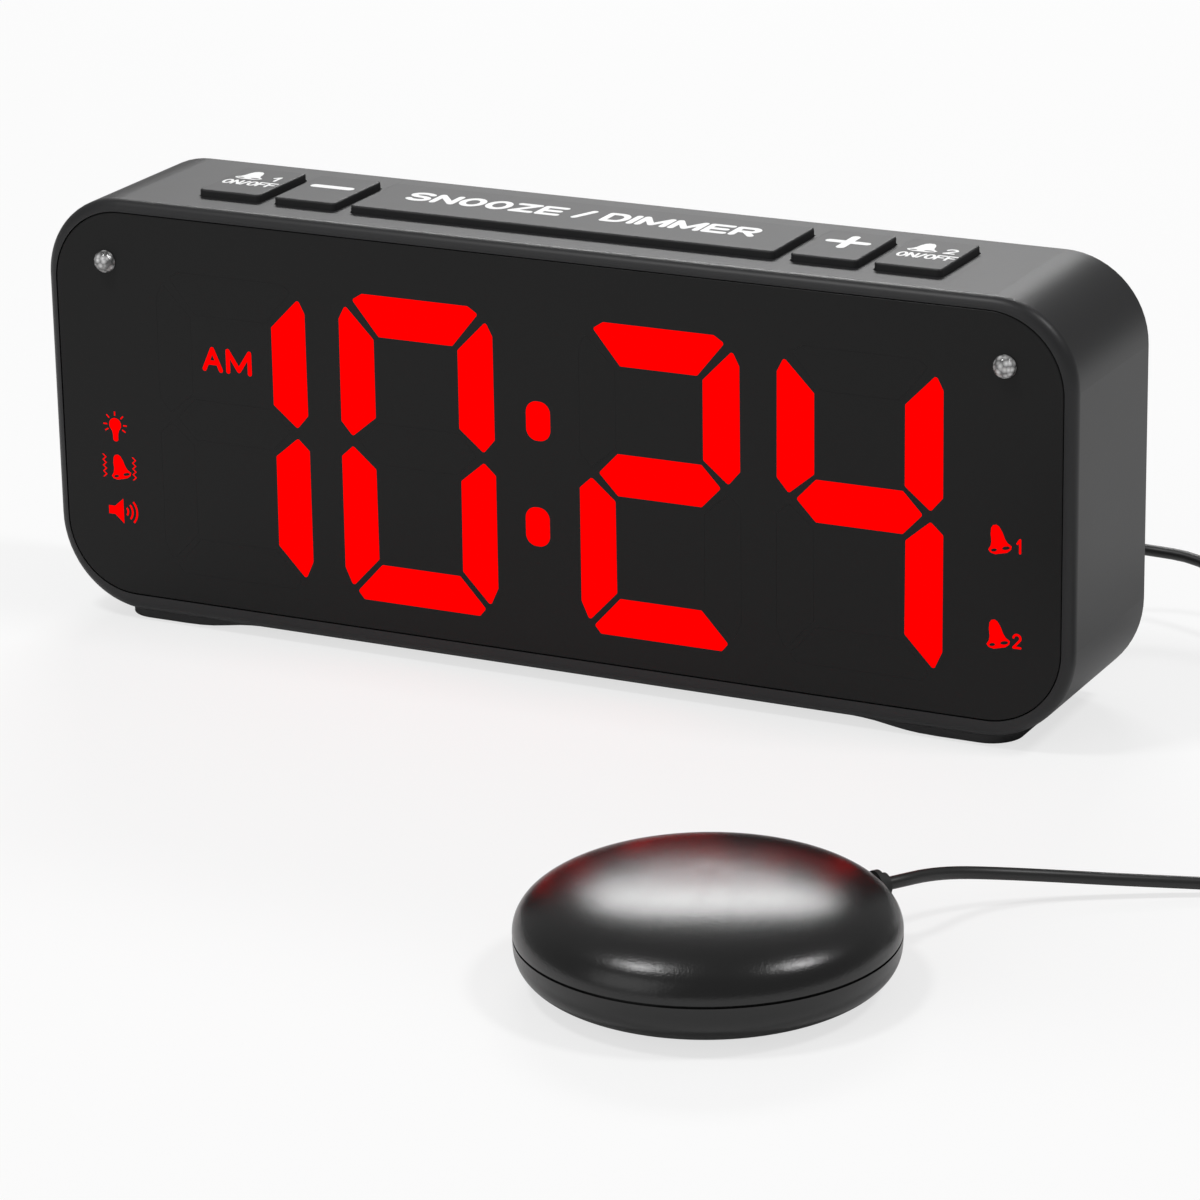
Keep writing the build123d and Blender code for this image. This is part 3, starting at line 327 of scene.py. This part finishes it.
def clearLamp(name, setup):
    # a faceted clear lens whose light and shade are painted into its colour: a painted glint, pale, in the
    # middle of each facet and painted shade, deep, at its edges
    material, tree, shader = newMaterial(name)
    place = tree.nodes.new("ShaderNodeTexCoord")
    facets = tree.nodes.new("ShaderNodeTexVoronoi")
    facets.inputs["Scale"].default_value = setup["facetScale"]
    ramp = tree.nodes.new("ShaderNodeMapRange")
    ramp.inputs["From Max"].default_value = setup["facetReach"]
    ramp.inputs["To Min"].default_value = setup["paintedGlint"]
    ramp.inputs["To Max"].default_value = setup["paintedFacetShade"]
    bump = tree.nodes.new("ShaderNodeBump")
    bump.inputs["Strength"].default_value = setup["facetDepth"]
    bump.inputs["Distance"].default_value = setup["facetHeight"]
    links = tree.links
    links.new(place.outputs["Object"], facets.inputs["Vector"])
    links.new(facets.outputs["Distance"], ramp.inputs["Value"])
    links.new(ramp.outputs["Result"], shader.inputs["Base Color"])
    links.new(facets.outputs["Distance"], bump.inputs["Height"])
    links.new(bump.outputs["Normal"], shader.inputs["Normal"])
    shader.inputs["Roughness"].default_value = setup["roughness"]
    shader.inputs["Coat Weight"].default_value = setup["coat"]
    return material


finish = {
    "housing": mouldedPlastic("satinHousing", (0.017, 0.017, 0.018), (0.024, 0.024, 0.025), 0.42, depth=0.05,
                              specular=0.32),
    "lens": mouldedPlastic("smokedLens", (0.0145, 0.0145, 0.0145), (0.0165, 0.0165, 0.0165), 0.30, depth=0.0,
                           contrast=0.2, specular=0.12),
    "keys": mouldedPlastic("satinKeys", (0.022, 0.022, 0.023), (0.032, 0.032, 0.033), 0.45, depth=0.05,
                           specular=0.28),
    "cover": mouldedPlastic("grainedCover", (0.018, 0.018, 0.019), (0.028, 0.028, 0.029), 0.6, size=900.0,
                            depth=0.35),
    "rubber": mouldedPlastic("softRubber", (0.014, 0.014, 0.014), (0.022, 0.022, 0.022), 0.7, depth=0.15),
    "puck": mouldedPlastic("puckShell", (0.007, 0.007, 0.007), (0.011, 0.011, 0.011), 0.24, size=2600.0,
                           depth=0.2),
    "cord": mouldedPlastic("cordSleeve", (0.010, 0.010, 0.010), (0.017, 0.017, 0.017), 0.42, depth=0.08),
    "block": mouldedPlastic("whiteBlock", (0.7, 0.7, 0.69), (0.8, 0.8, 0.79), 0.5, depth=0.05),
    "board": mouldedPlastic("solderMask", (0.008, 0.09, 0.035), (0.012, 0.12, 0.05), 0.4, size=300.0,
                            depth=0.1),
    "chips": mouldedPlastic("chipBodies", (0.02, 0.02, 0.021), (0.032, 0.032, 0.033), 0.55, depth=0.2),
    "paper": mouldedPlastic("speakerCone", (0.03, 0.03, 0.03), (0.05, 0.05, 0.05), 0.85, size=600.0,
                            depth=0.4),
    "led": mouldedPlastic("lightChips", (0.75, 0.68, 0.35), (0.85, 0.78, 0.45), 0.3, depth=0.05),
    "sleeve": mouldedPlastic("cellSleeve", (0.05, 0.10, 0.22), (0.07, 0.13, 0.28), 0.35),
    "socket": mouldedPlastic("socketBody", (0.012, 0.012, 0.012), (0.018, 0.018, 0.018), 0.35, depth=0.05),
    "print": mouldedPlastic("whitePrint", (0.86, 0.86, 0.86), (0.95, 0.95, 0.95), 0.5, depth=0.0,
                            contrast=0.2),
    "steel": brushedMetal("platedSteel", (0.62, 0.62, 0.63), 0.32),
    "brass": brushedMetal("turnedBrass", (0.72, 0.55, 0.30), 0.35),
    "nickel": brushedMetal("nickelContact", (0.70, 0.68, 0.62), 0.28),
    "lit": glowing("litBars", (1.0, 0.0, 0.0), 0.5),
    "lamp": clearLamp("clearLamp", flashSetup),
}
nodeFinish = {
    "housing": "housing", "front_lens": "lens", "foot_pads": "rubber", "flash_lamps": "lamp",
    "display_block": "block", "display_board": "board", "segment_leds": "led", "colon_dots": "lit",
    "key_board": "board", "key_board_screws": "steel", "rear_cover": "cover", "battery_door": "cover",
    "rear_cover_screws": "steel", "battery_lower": "sleeve", "battery_upper": "sleeve",
    "battery_contacts": "nickel", "main_board": "board", "main_board_parts": "chips", "board_links": "chips",
    "main_board_screws": "steel", "speaker": "paper", "dc_jack": "socket", "shaker_jack": "socket",
    "jack_plug": "cord", "rear_switches": "chips", "mode_slider": "keys", "puck_top_shell": "puck",
    "puck_bottom_shell": "puck", "puck_foot_ring": "rubber", "puck_motor": "steel", "motor_bracket": "chips",
    "motor_shaft": "steel", "eccentric_weight": "brass", "puck_screws": "steel", "cord_grommet": "rubber",
}
for node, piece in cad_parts.items():
    if node in nodeFinish:
        choice = nodeFinish[node]
    elif node.startswith("digit_"):
        choice = "lit" if node.endswith("_lit") else "lens"
    elif node.startswith("dome_"):
        choice = "rubber"
    elif node.startswith("key_") or node.startswith("rear_key_"):
        choice = "keys"
    else:
        choice = "cord"
    piece.data.materials.clear()
    piece.data.materials.append(finish[choice])
shakerCord.data.materials.append(finish["cord"])
print("finishes given")

# Lettering and marks: flat shapes, a hair proud of what they are printed on
markSetup = {
    "thickness": 0.03,
    "keyTop": 92.75,
    "lensFront": -19.5,
}
# widths of a letter one unit high, before its word is fitted
letterShare = 0.95
otherShares = {"I": 0.0, "M": 1.25, "1": 0.35, "/": 0.5, " ": 0.1, "2": 0.8}


def bend(x, y, across, up, start, end, steps=14):
    # points along a stretch of an ellipse
    turns = [math.radians(start + (end - start) * step / steps) for step in range(steps + 1)]
    return [(x + across * math.cos(turn), y + up * math.sin(turn)) for turn in turns]


def letterStrokes(letter, w):
    # pen lines of a capital, a figure or a slash, one unit high and w wide
    if letter == "S":
        upper = bend(w / 2, 0.76, w / 2, 0.24, 25, 270)
        return [upper + bend(w / 2, 0.26, w / 2, 0.26, 90, -155)[1:]]
    if letter == "2":
        return [bend(w / 2, 0.72, w / 2, 0.28, 170, -25) + [(0, 0)], [(0, 0), (w, 0)]]
    if letter == "O":
        return [bend(w / 2, 0.5, w / 2, 0.5, 85, 275), bend(w / 2, 0.5, w / 2, 0.5, -95, 95)]
    if letter == "D":
        return [[(0, 0), (0, 1)], [(0, 1), *bend(0.5 * w, 0.5, 0.5 * w, 0.5, 90, -90), (0, 0)]]
    if letter == "R":
        loop = [(0, 1), *bend(0.68 * w, 0.74, 0.32 * w, 0.26, 90, -90), (0, 0.48)]
        return [[(0, 0), (0, 1)], loop, [(0.5 * w, 0.48), (w, 0)]]
    straight = {
        "N": [(0, 0, 0, 1), (0, 1, w, 0), (w, 0, w, 1)],
        "Z": [(0, 1, w, 1), (w, 1, 0, 0), (0, 0, w, 0)],
        "E": [(0, 0, 0, 1), (0, 1, w, 1), (0, 0.5, 0.9 * w, 0.5), (0, 0, w, 0)],
        "F": [(0, 0, 0, 1), (0, 1, w, 1), (0, 0.5, 0.85 * w, 0.5)],
        "I": [(0, 0, 0, 1)],
        "M": [(0, 0, 0, 1), (0, 1, w / 2, 0.1), (w / 2, 0.1, w, 1), (w, 1, w, 0)],
        "A": [(0, 0, w / 2, 1), (w / 2, 1, w, 0), (0.2 * w, 0.34, 0.8 * w, 0.34)],
        "/": [(0, 0, w, 1)],
        "1": [(0, 0.7, w, 1), (w, 1, w, 0)],
    }
    return [[(x1, y1), (x2, y2)] for x1, y1, x2, y2 in straight[letter]]


def penLine(points, width, steps=6):
    # closed outline of a pen line with round ends
    def normal(a, b):
        return math.atan2(b[1] - a[1], b[0] - a[0]) + math.pi / 2

    angles = [normal(a, b) for a, b in zip(points, points[1:])]
    for index in range(1, len(angles)):
        while angles[index] - angles[index - 1] > math.pi:
            angles[index] -= 2 * math.pi
        while angles[index] - angles[index - 1] < -math.pi:
            angles[index] += 2 * math.pi
    middle = [(a + b) / 2 for a, b in zip(angles, angles[1:])]
    turns = [angles[0], *middle, angles[-1]]
    half = width / 2
    left = [(x + half * math.cos(turn), y + half * math.sin(turn)) for (x, y), turn in zip(points, turns)]
    right = [(x - half * math.cos(turn), y - half * math.sin(turn)) for (x, y), turn in zip(points, turns)]

    def cap(point, start):
        fan = [start - math.pi * step / steps for step in range(1, steps)]
        return [(point[0] + half * math.cos(turn), point[1] + half * math.sin(turn)) for turn in fan]

    return left + cap(points[-1], turns[-1]) + right[::-1] + cap(points[0], turns[0] - math.pi)


def addDraft(name, data):
    draft = bpy.data.objects.new(name, data)
    scene.collection.objects.link(draft)
    return draft


def printedMesh(draft, name):
    # the draft's finished mesh, one unit thick, made as thin as print and brought to metres
    bpy.context.view_layer.update()
    finished = draft.evaluated_get(bpy.context.evaluated_depsgraph_get())
    mesh = bpy.data.meshes.new_from_object(finished)
    mesh.name = name
    mesh.transform(Matrix.Scale(mm, 4) @ Matrix.Diagonal((1, 1, markSetup["thickness"], 1)))
    return mesh


def joined(name, outlines):
    # flat pieces, joined where they overlap: the first and the rest meet in a union
    drafts = []
    for label, group in (("Rest", outlines[1:]), ("First", outlines[:1])):
        mesh = bpy.data.meshes.new(name + label)
        shape = bmesh.new()
        for outline in group:
            base = shape.faces.new([shape.verts.new((x, y, -0.5)) for x, y in outline])
            raised = bmesh.ops.extrude_face_region(shape, geom=[base])["geom"]
            corners = [part for part in raised if isinstance(part, bmesh.types.BMVert)]
            bmesh.ops.translate(shape, vec=(0, 0, 1), verts=corners)
        bmesh.ops.recalc_face_normals(shape, faces=shape.faces[:])
        shape.to_mesh(mesh)
        shape.free()
        drafts.append(addDraft(name + label, mesh))
    union = drafts[0].modifiers.new("union", "BOOLEAN")
    union.operation = "UNION"
    union.solver = "EXACT"
    union.use_self = True
    union.object = drafts[1]
    whole = printedMesh(drafts[0], name)
    for draft in drafts:
        bpy.data.objects.remove(draft)
    return whole


def outlineMesh(name, outlines):
    # filled flat shapes from closed outlines; an outline inside another is a hole
    curve = bpy.data.curves.new(name, "CURVE")
    curve.dimensions = "2D"
    curve.fill_mode = "BOTH"
    curve.extrude = 0.5      # each way, so one unit thick
    for outline in outlines:
        spline = curve.splines.new("POLY")
        spline.points.add(len(outline) - 1)
        for point, (x, y) in zip(spline.points, outline):
            point.co = (x, y, 0, 1)
        spline.use_cyclic_u = True
    draft = addDraft(name + "Draft", curve)
    mesh = printedMesh(draft, name)
    bpy.data.objects.remove(draft)
    return mesh


def wordMesh(text, name, width, height, pen, gap=0.2):
    # block capitals, fitted to a width and a height, middle at the origin
    lines, x = [], 0.0
    for letter in text:
        w = otherShares.get(letter, letterShare)
        if letter != " ":
            lines += [[(x + px, py) for px, py in line] for line in letterStrokes(letter, w)]
        x += w + pen / height + gap
    span = x - pen / height - gap
    wide, high = (width - pen) / span, height - pen
    outlines = [penLine([((px - span / 2) * wide, (py - 0.5) * high) for px, py in line], pen)
                for line in lines]
    return joined(name, outlines)


def placeMark(mesh, spot, body, look, onKey=True):
    lift = markSetup["thickness"] / 2
    if onKey:
        place = Matrix.Translation(Vector((spot[0], spot[1], markSetup["keyTop"] + lift)) * mm)
    else:
        place = (Matrix.Translation(Vector((spot[0], markSetup["lensFront"] - lift, spot[1])) * mm)
                 @ Matrix.Rotation(math.radians(90), 4, "X"))
    mesh.transform(place)
    mesh.materials.clear()
    mesh.materials.append(finish[look])
    mark = bpy.data.objects.new(mesh.name, mesh)
    scene.collection.objects.link(mark)
    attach(mark, body)


def printOnKey(mesh, spot, body):
    placeMark(mesh, spot, body, "print")


def lightOnLens(mesh, spot):
    placeMark(mesh, spot, "case", "lit", False)


def pill(length, width, steps=10):
    # a bar with round ends
    radius, reach = width / 2, (length - width) / 2
    return bend(reach, 0, radius, radius, -90, 90, steps) + bend(-reach, 0, radius, radius, 90, 270, steps)


def mirrored(half):
    return half + [(-x, y) for x, y in reversed(half)]


def turned(outline, tilt):
    c, s = math.cos(math.radians(tilt)), math.sin(math.radians(tilt))
    return [(x * c - y * s, x * s + y * c) for x, y in outline]


def oval(x, y, across, up, steps=16):
    return bend(x, y, across, up, 0, 360, steps)[:-1]


# half of a plain bell, and the two gaps beside its clapper
bellHalfShares = [(0.07, 0.5), (0.17, 0.42), (0.25, 0.22), (0.29, -0.02), (0.36, -0.17), (0.5, -0.29),
                  (0.44, -0.40), (0.25, -0.48)]
bellGapShares = [(-0.27, -0.335, 0.13, 0.055), (0.25, -0.325, 0.17, 0.062)]


def bellOutlines(width, height, tilt=0.0):
    outlines = [mirrored(bellHalfShares), *(oval(*gap) for gap in bellGapShares)]
    return [turned([(x * width, y * height) for x, y in outline], tilt) for outline in outlines]


# White print on the keys
snoozeSetup = {
    "text": "SNOOZE / DIMMER",
    "place": (-0.5, 2.1),
    "width": 78.6,
    "height": 6.6,
    "pen": 1.45,
}


def addSnoozeWords(setup):
    words = wordMesh(setup["text"], "snoozeWords", setup["width"], setup["height"], setup["pen"])
    printOnKey(words, setup["place"], "snooze_key")


addSnoozeWords(snoozeSetup)

signSetup = {
    "minusPlace": (-57.7, 2.1),
    "minusLength": 10.1,
    "minusWidth": 2.1,
    "plusPlace": (57.9, 2.5),
    "plusAcross": 3.9,
    "plusUp": 3.8,
    "plusPen": 1.9,
}


def addSigns(setup):
    minus = pill(setup["minusLength"], setup["minusWidth"])
    printOnKey(outlineMesh("minusMark", [minus]), setup["minusPlace"], "minus_key")
    across, up, pen = setup["plusAcross"], setup["plusUp"], setup["plusPen"]
    plus = [penLine([(-across, 0), (across, 0)], pen), penLine([(0, -up), (0, up)], pen)]
    printOnKey(joined("plusMark", plus), setup["plusPlace"], "plus_key")


addSigns(signSetup)

alarmKeySetup = {
    "bellWidth": 6.4,
    "bellHeight": 6.3,
    "bellY": 4.4,
    "figureHeight": 3.6,
    "figurePen": 0.65,
    "figureY": 3.4,
    "text": "ON/OFF",
    "textWidth": 12.4,
    "textHeight": 3.4,
    "textPen": 0.6,
    "textY": -1.5,
}
alarmKeys = {
    "alarm1": {"figure": "1", "figureWidth": 1.7, "bellX": -77.8, "textX": -75.3, "figureX": -71.9},
    "alarm2": {"figure": "2", "figureWidth": 2.6, "bellX": 73.6, "textX": 76.2, "figureX": 79.4},
}


def addAlarmKeyMarks(setup, key, own):
    body = key + "_key"
    bell = bellOutlines(setup["bellWidth"], setup["bellHeight"])
    printOnKey(outlineMesh(key + "Bell", bell), (own["bellX"], setup["bellY"]), body)
    figure = wordMesh(own["figure"], key + "Figure", own["figureWidth"], setup["figureHeight"],
                      setup["figurePen"])
    printOnKey(figure, (own["figureX"], setup["figureY"]), body)
    words = wordMesh(setup["text"], key + "Words", setup["textWidth"], setup["textHeight"],
                     setup["textPen"])
    printOnKey(words, (own["textX"], setup["textY"]), body)


for alarmKey, ownSetup in alarmKeys.items():
    addAlarmKeyMarks(alarmKeySetup, alarmKey, ownSetup)

# Lit marks, on the front of the lens
amSetup = {
    "text": "AM",
    "place": (-71.75, 59.7),
    "width": 11.7,
    "height": 5.3,
    "pen": 0.95,
    "gap": 0.25,
}


def addMorningSign(setup):
    words = wordMesh(setup["text"], "amMark", setup["width"], setup["height"], setup["pen"], setup["gap"])
    lightOnLens(words, setup["place"])


addMorningSign(amSetup)

bulbSetup = {
    "place": (-99.5, 42.2),
    "glassUp": 0.6,
    "glassRadius": 1.45,
    "glassSteps": 20,
    "halfNeck": [(-0.95, -0.3), (-0.62, -1.5), (-0.6, -2.7), (-0.3, -3.0)],
    "rayAngles": (-30, 0, 45, 90, 135, 180, 210),
    "rayNear": 1.95,
    "rayFar": 2.85,
    "rayWidth": 0.28,
}


def addBulb(setup):
    rise = setup["glassUp"]
    glass = oval(0, rise, setup["glassRadius"], setup["glassRadius"], setup["glassSteps"])
    lightOnLens(outlineMesh("bulbGlass", [glass]), setup["place"])
    lightOnLens(outlineMesh("bulbNeck", [mirrored(setup["halfNeck"])]), setup["place"])
    near, far, half = setup["rayNear"], setup["rayFar"], setup["rayWidth"] / 2
    ray = [(near, -half), (far, -half), (far, half), (near, half)]
    rays = [[(x, y + rise) for x, y in turned(ray, angle)] for angle in setup["rayAngles"]]
    lightOnLens(outlineMesh("bulbRays", rays), setup["place"])


addBulb(bulbSetup)

shakeSetup = {
    "place": (-98.9, 33.6),
    "bellWidth": 4.9,
    "bellHeight": 5.4,
    "bellTilt": 14,
    "waveX": 3.6,
    "waveHeight": 5.0,
    "waveReach": 0.7,
    "wavePen": 0.35,
}


def zigzag(x, height, reach, width, waves=4):
    left, right = [], []
    for step in range(2 * waves + 1):
        y = height / 2 - height * step / (2 * waves)
        across = x + (reach / 2 if step % 2 else -reach / 2)
        left.append((across - width / 2, y))
        right.append((across + width / 2, y))
    return left + right[::-1]


def addShaker(setup):
    bell = bellOutlines(setup["bellWidth"], setup["bellHeight"], setup["bellTilt"])
    lightOnLens(outlineMesh("shakeBell", bell), setup["place"])
    waves = [zigzag(x, setup["waveHeight"], setup["waveReach"], setup["wavePen"])
             for x in (-setup["waveX"], setup["waveX"])]
    lightOnLens(outlineMesh("shakeWaves", waves), setup["place"])


addShaker(shakeSetup)

soundSetup = {
    "place": (-98.6, 24.0),
    "horn": [(-3.4, 0.9), (-1.9, 0.9), (0.2, 2.7), (0.2, -2.7), (-1.9, -0.9), (-3.4, -0.9)],
    "waveX": 0.1,
    "waveRadii": (1.4, 2.5, 3.6),
    "waveSpread": 42,
    "waveSteps": 10,
    "wavePen": 0.42,
}


def addSound(setup):
    lightOnLens(outlineMesh("soundHorn", [setup["horn"]]), setup["place"])
    x, spread, steps = setup["waveX"], setup["waveSpread"], setup["waveSteps"]
    waves = []
    for outer in setup["waveRadii"]:
        inner = outer - setup["wavePen"]
        waves.append(bend(x, 0, outer, outer, -spread, spread, steps)
                     + bend(x, 0, inner, inner, -spread, spread, steps)[::-1])
    lightOnLens(outlineMesh("soundWaves", waves), setup["place"])


addSound(soundSetup)

alarmSignSetup = {
    "bellWidth": 5.0,
    "bellHeight": 5.9,
    "bellTilt": 14,
    "figureHeight": 3.1,
    "figurePen": 0.45,
    "figureAcross": 4.3,
    "figureDown": 0.9,
}
alarmSigns = {
    "1": {"bellX": 98.9, "bellZ": 43.3, "figureWidth": 1.0},
    "2": {"bellX": 98.7, "bellZ": 24.0, "figureWidth": 1.9},
}


def addAlarmSign(setup, figure, own):
    bell = bellOutlines(setup["bellWidth"], setup["bellHeight"], setup["bellTilt"])
    lightOnLens(outlineMesh("alarmBell" + figure, bell), (own["bellX"], own["bellZ"]))
    number = wordMesh(figure, "alarmFigure" + figure, own["figureWidth"], setup["figureHeight"],
                      setup["figurePen"])
    lightOnLens(number, (own["bellX"] + setup["figureAcross"], own["bellZ"] - setup["figureDown"]))


for alarmFigure, ownSetup in alarmSigns.items():
    addAlarmSign(alarmSignSetup, alarmFigure, ownSetup)
print("marks printed")

# Floor, pale surroundings and lamps, in metres and watts
studio = {
    "floorReach": 3.0,
    "floorTone": 0.96,
    "floorRoughness": 0.9,
    "floorShadow": 0.3,
    "world": 0.25,
    "lamps": {
        "backBand": {"place": (-0.55, 1.35, 1.0), "size": (0.85, 0.26), "power": 11.0},
        "leftTop": {"place": (-0.30, -0.41, 1.12), "size": (0.2, 0.2), "power": 4.0},
        "rightTop": {"place": (0.72, 0.09, 1.01), "size": (0.2, 0.2), "power": 4.0},
        "front": {"place": (-0.6, -1.6, 0.8), "size": (1.2, 1.2), "power": 4.5},
    },
}


def addFloor(setup):
    # the camera sees it whiter than it is, so that only part of the shadow shows
    mesh = bpy.data.meshes.new("floor")
    shape = bmesh.new()
    bmesh.ops.create_grid(shape, x_segments=1, y_segments=1, size=setup["floorReach"])
    shape.to_mesh(mesh)
    shape.free()
    floor = bpy.data.objects.new("floor", mesh)
    scene.collection.objects.link(floor)
    material, tree, shader = newMaterial("paleFloor")
    tone = setup["floorTone"]
    shader.inputs["Base Color"].default_value = (tone, tone, tone, 1)
    shader.inputs["Roughness"].default_value = setup["floorRoughness"]
    shader.inputs["Specular IOR Level"].default_value = 0.0
    seen = tree.nodes.new("ShaderNodeLightPath")
    share = tree.nodes.new("ShaderNodeMath")
    share.operation = "MULTIPLY"
    share.inputs[1].default_value = 1 - setup["floorShadow"]
    white = tree.nodes.new("ShaderNodeEmission")
    mix = tree.nodes.new("ShaderNodeMixShader")
    links = tree.links
    links.new(seen.outputs["Is Camera Ray"], share.inputs[0])
    links.new(share.outputs["Value"], mix.inputs["Fac"])
    links.new(shader.outputs["BSDF"], mix.inputs[1])
    links.new(white.outputs["Emission"], mix.inputs[2])
    links.new(mix.outputs["Shader"], tree.nodes["Material Output"].inputs["Surface"])
    mesh.materials.append(material)


def addWorld(strength):
    world = bpy.data.worlds.new("studio")
    world.use_nodes = True
    scene.world = world
    nodes, links = world.node_tree.nodes, world.node_tree.links
    seen = nodes.new("ShaderNodeLightPath")
    plain = nodes["Background"]
    plain.inputs["Color"].default_value = (1, 1, 1, 1)
    plain.inputs["Strength"].default_value = strength
    white = nodes.new("ShaderNodeBackground")
    white.inputs["Strength"].default_value = 1
    mix = nodes.new("ShaderNodeMixShader")
    links.new(seen.outputs["Is Camera Ray"], mix.inputs["Fac"])
    links.new(plain.outputs["Background"], mix.inputs[1])
    links.new(white.outputs["Background"], mix.inputs[2])
    links.new(mix.outputs["Shader"], nodes["World Output"].inputs["Surface"])


def addLamp(name, setup):
    # an area lamp that faces the origin
    data = bpy.data.lights.new(name, "AREA")
    data.shape = "RECTANGLE"
    data.size, data.size_y = setup["size"]
    data.energy = setup["power"]
    lamp = bpy.data.objects.new(name, data)
    place = Vector(setup["place"])
    lamp.matrix_world = Matrix.Translation(place) @ (-place).to_track_quat("-Z", "Y").to_matrix().to_4x4()
    scene.collection.objects.link(lamp)


addFloor(studio)
addWorld(studio["world"])
for lampName, lampSetup in studio["lamps"].items():
    addLamp(lampName, lampSetup)
scene.view_settings.view_transform = "Standard"
print("studio lit")

bpy.context.view_layer.update()
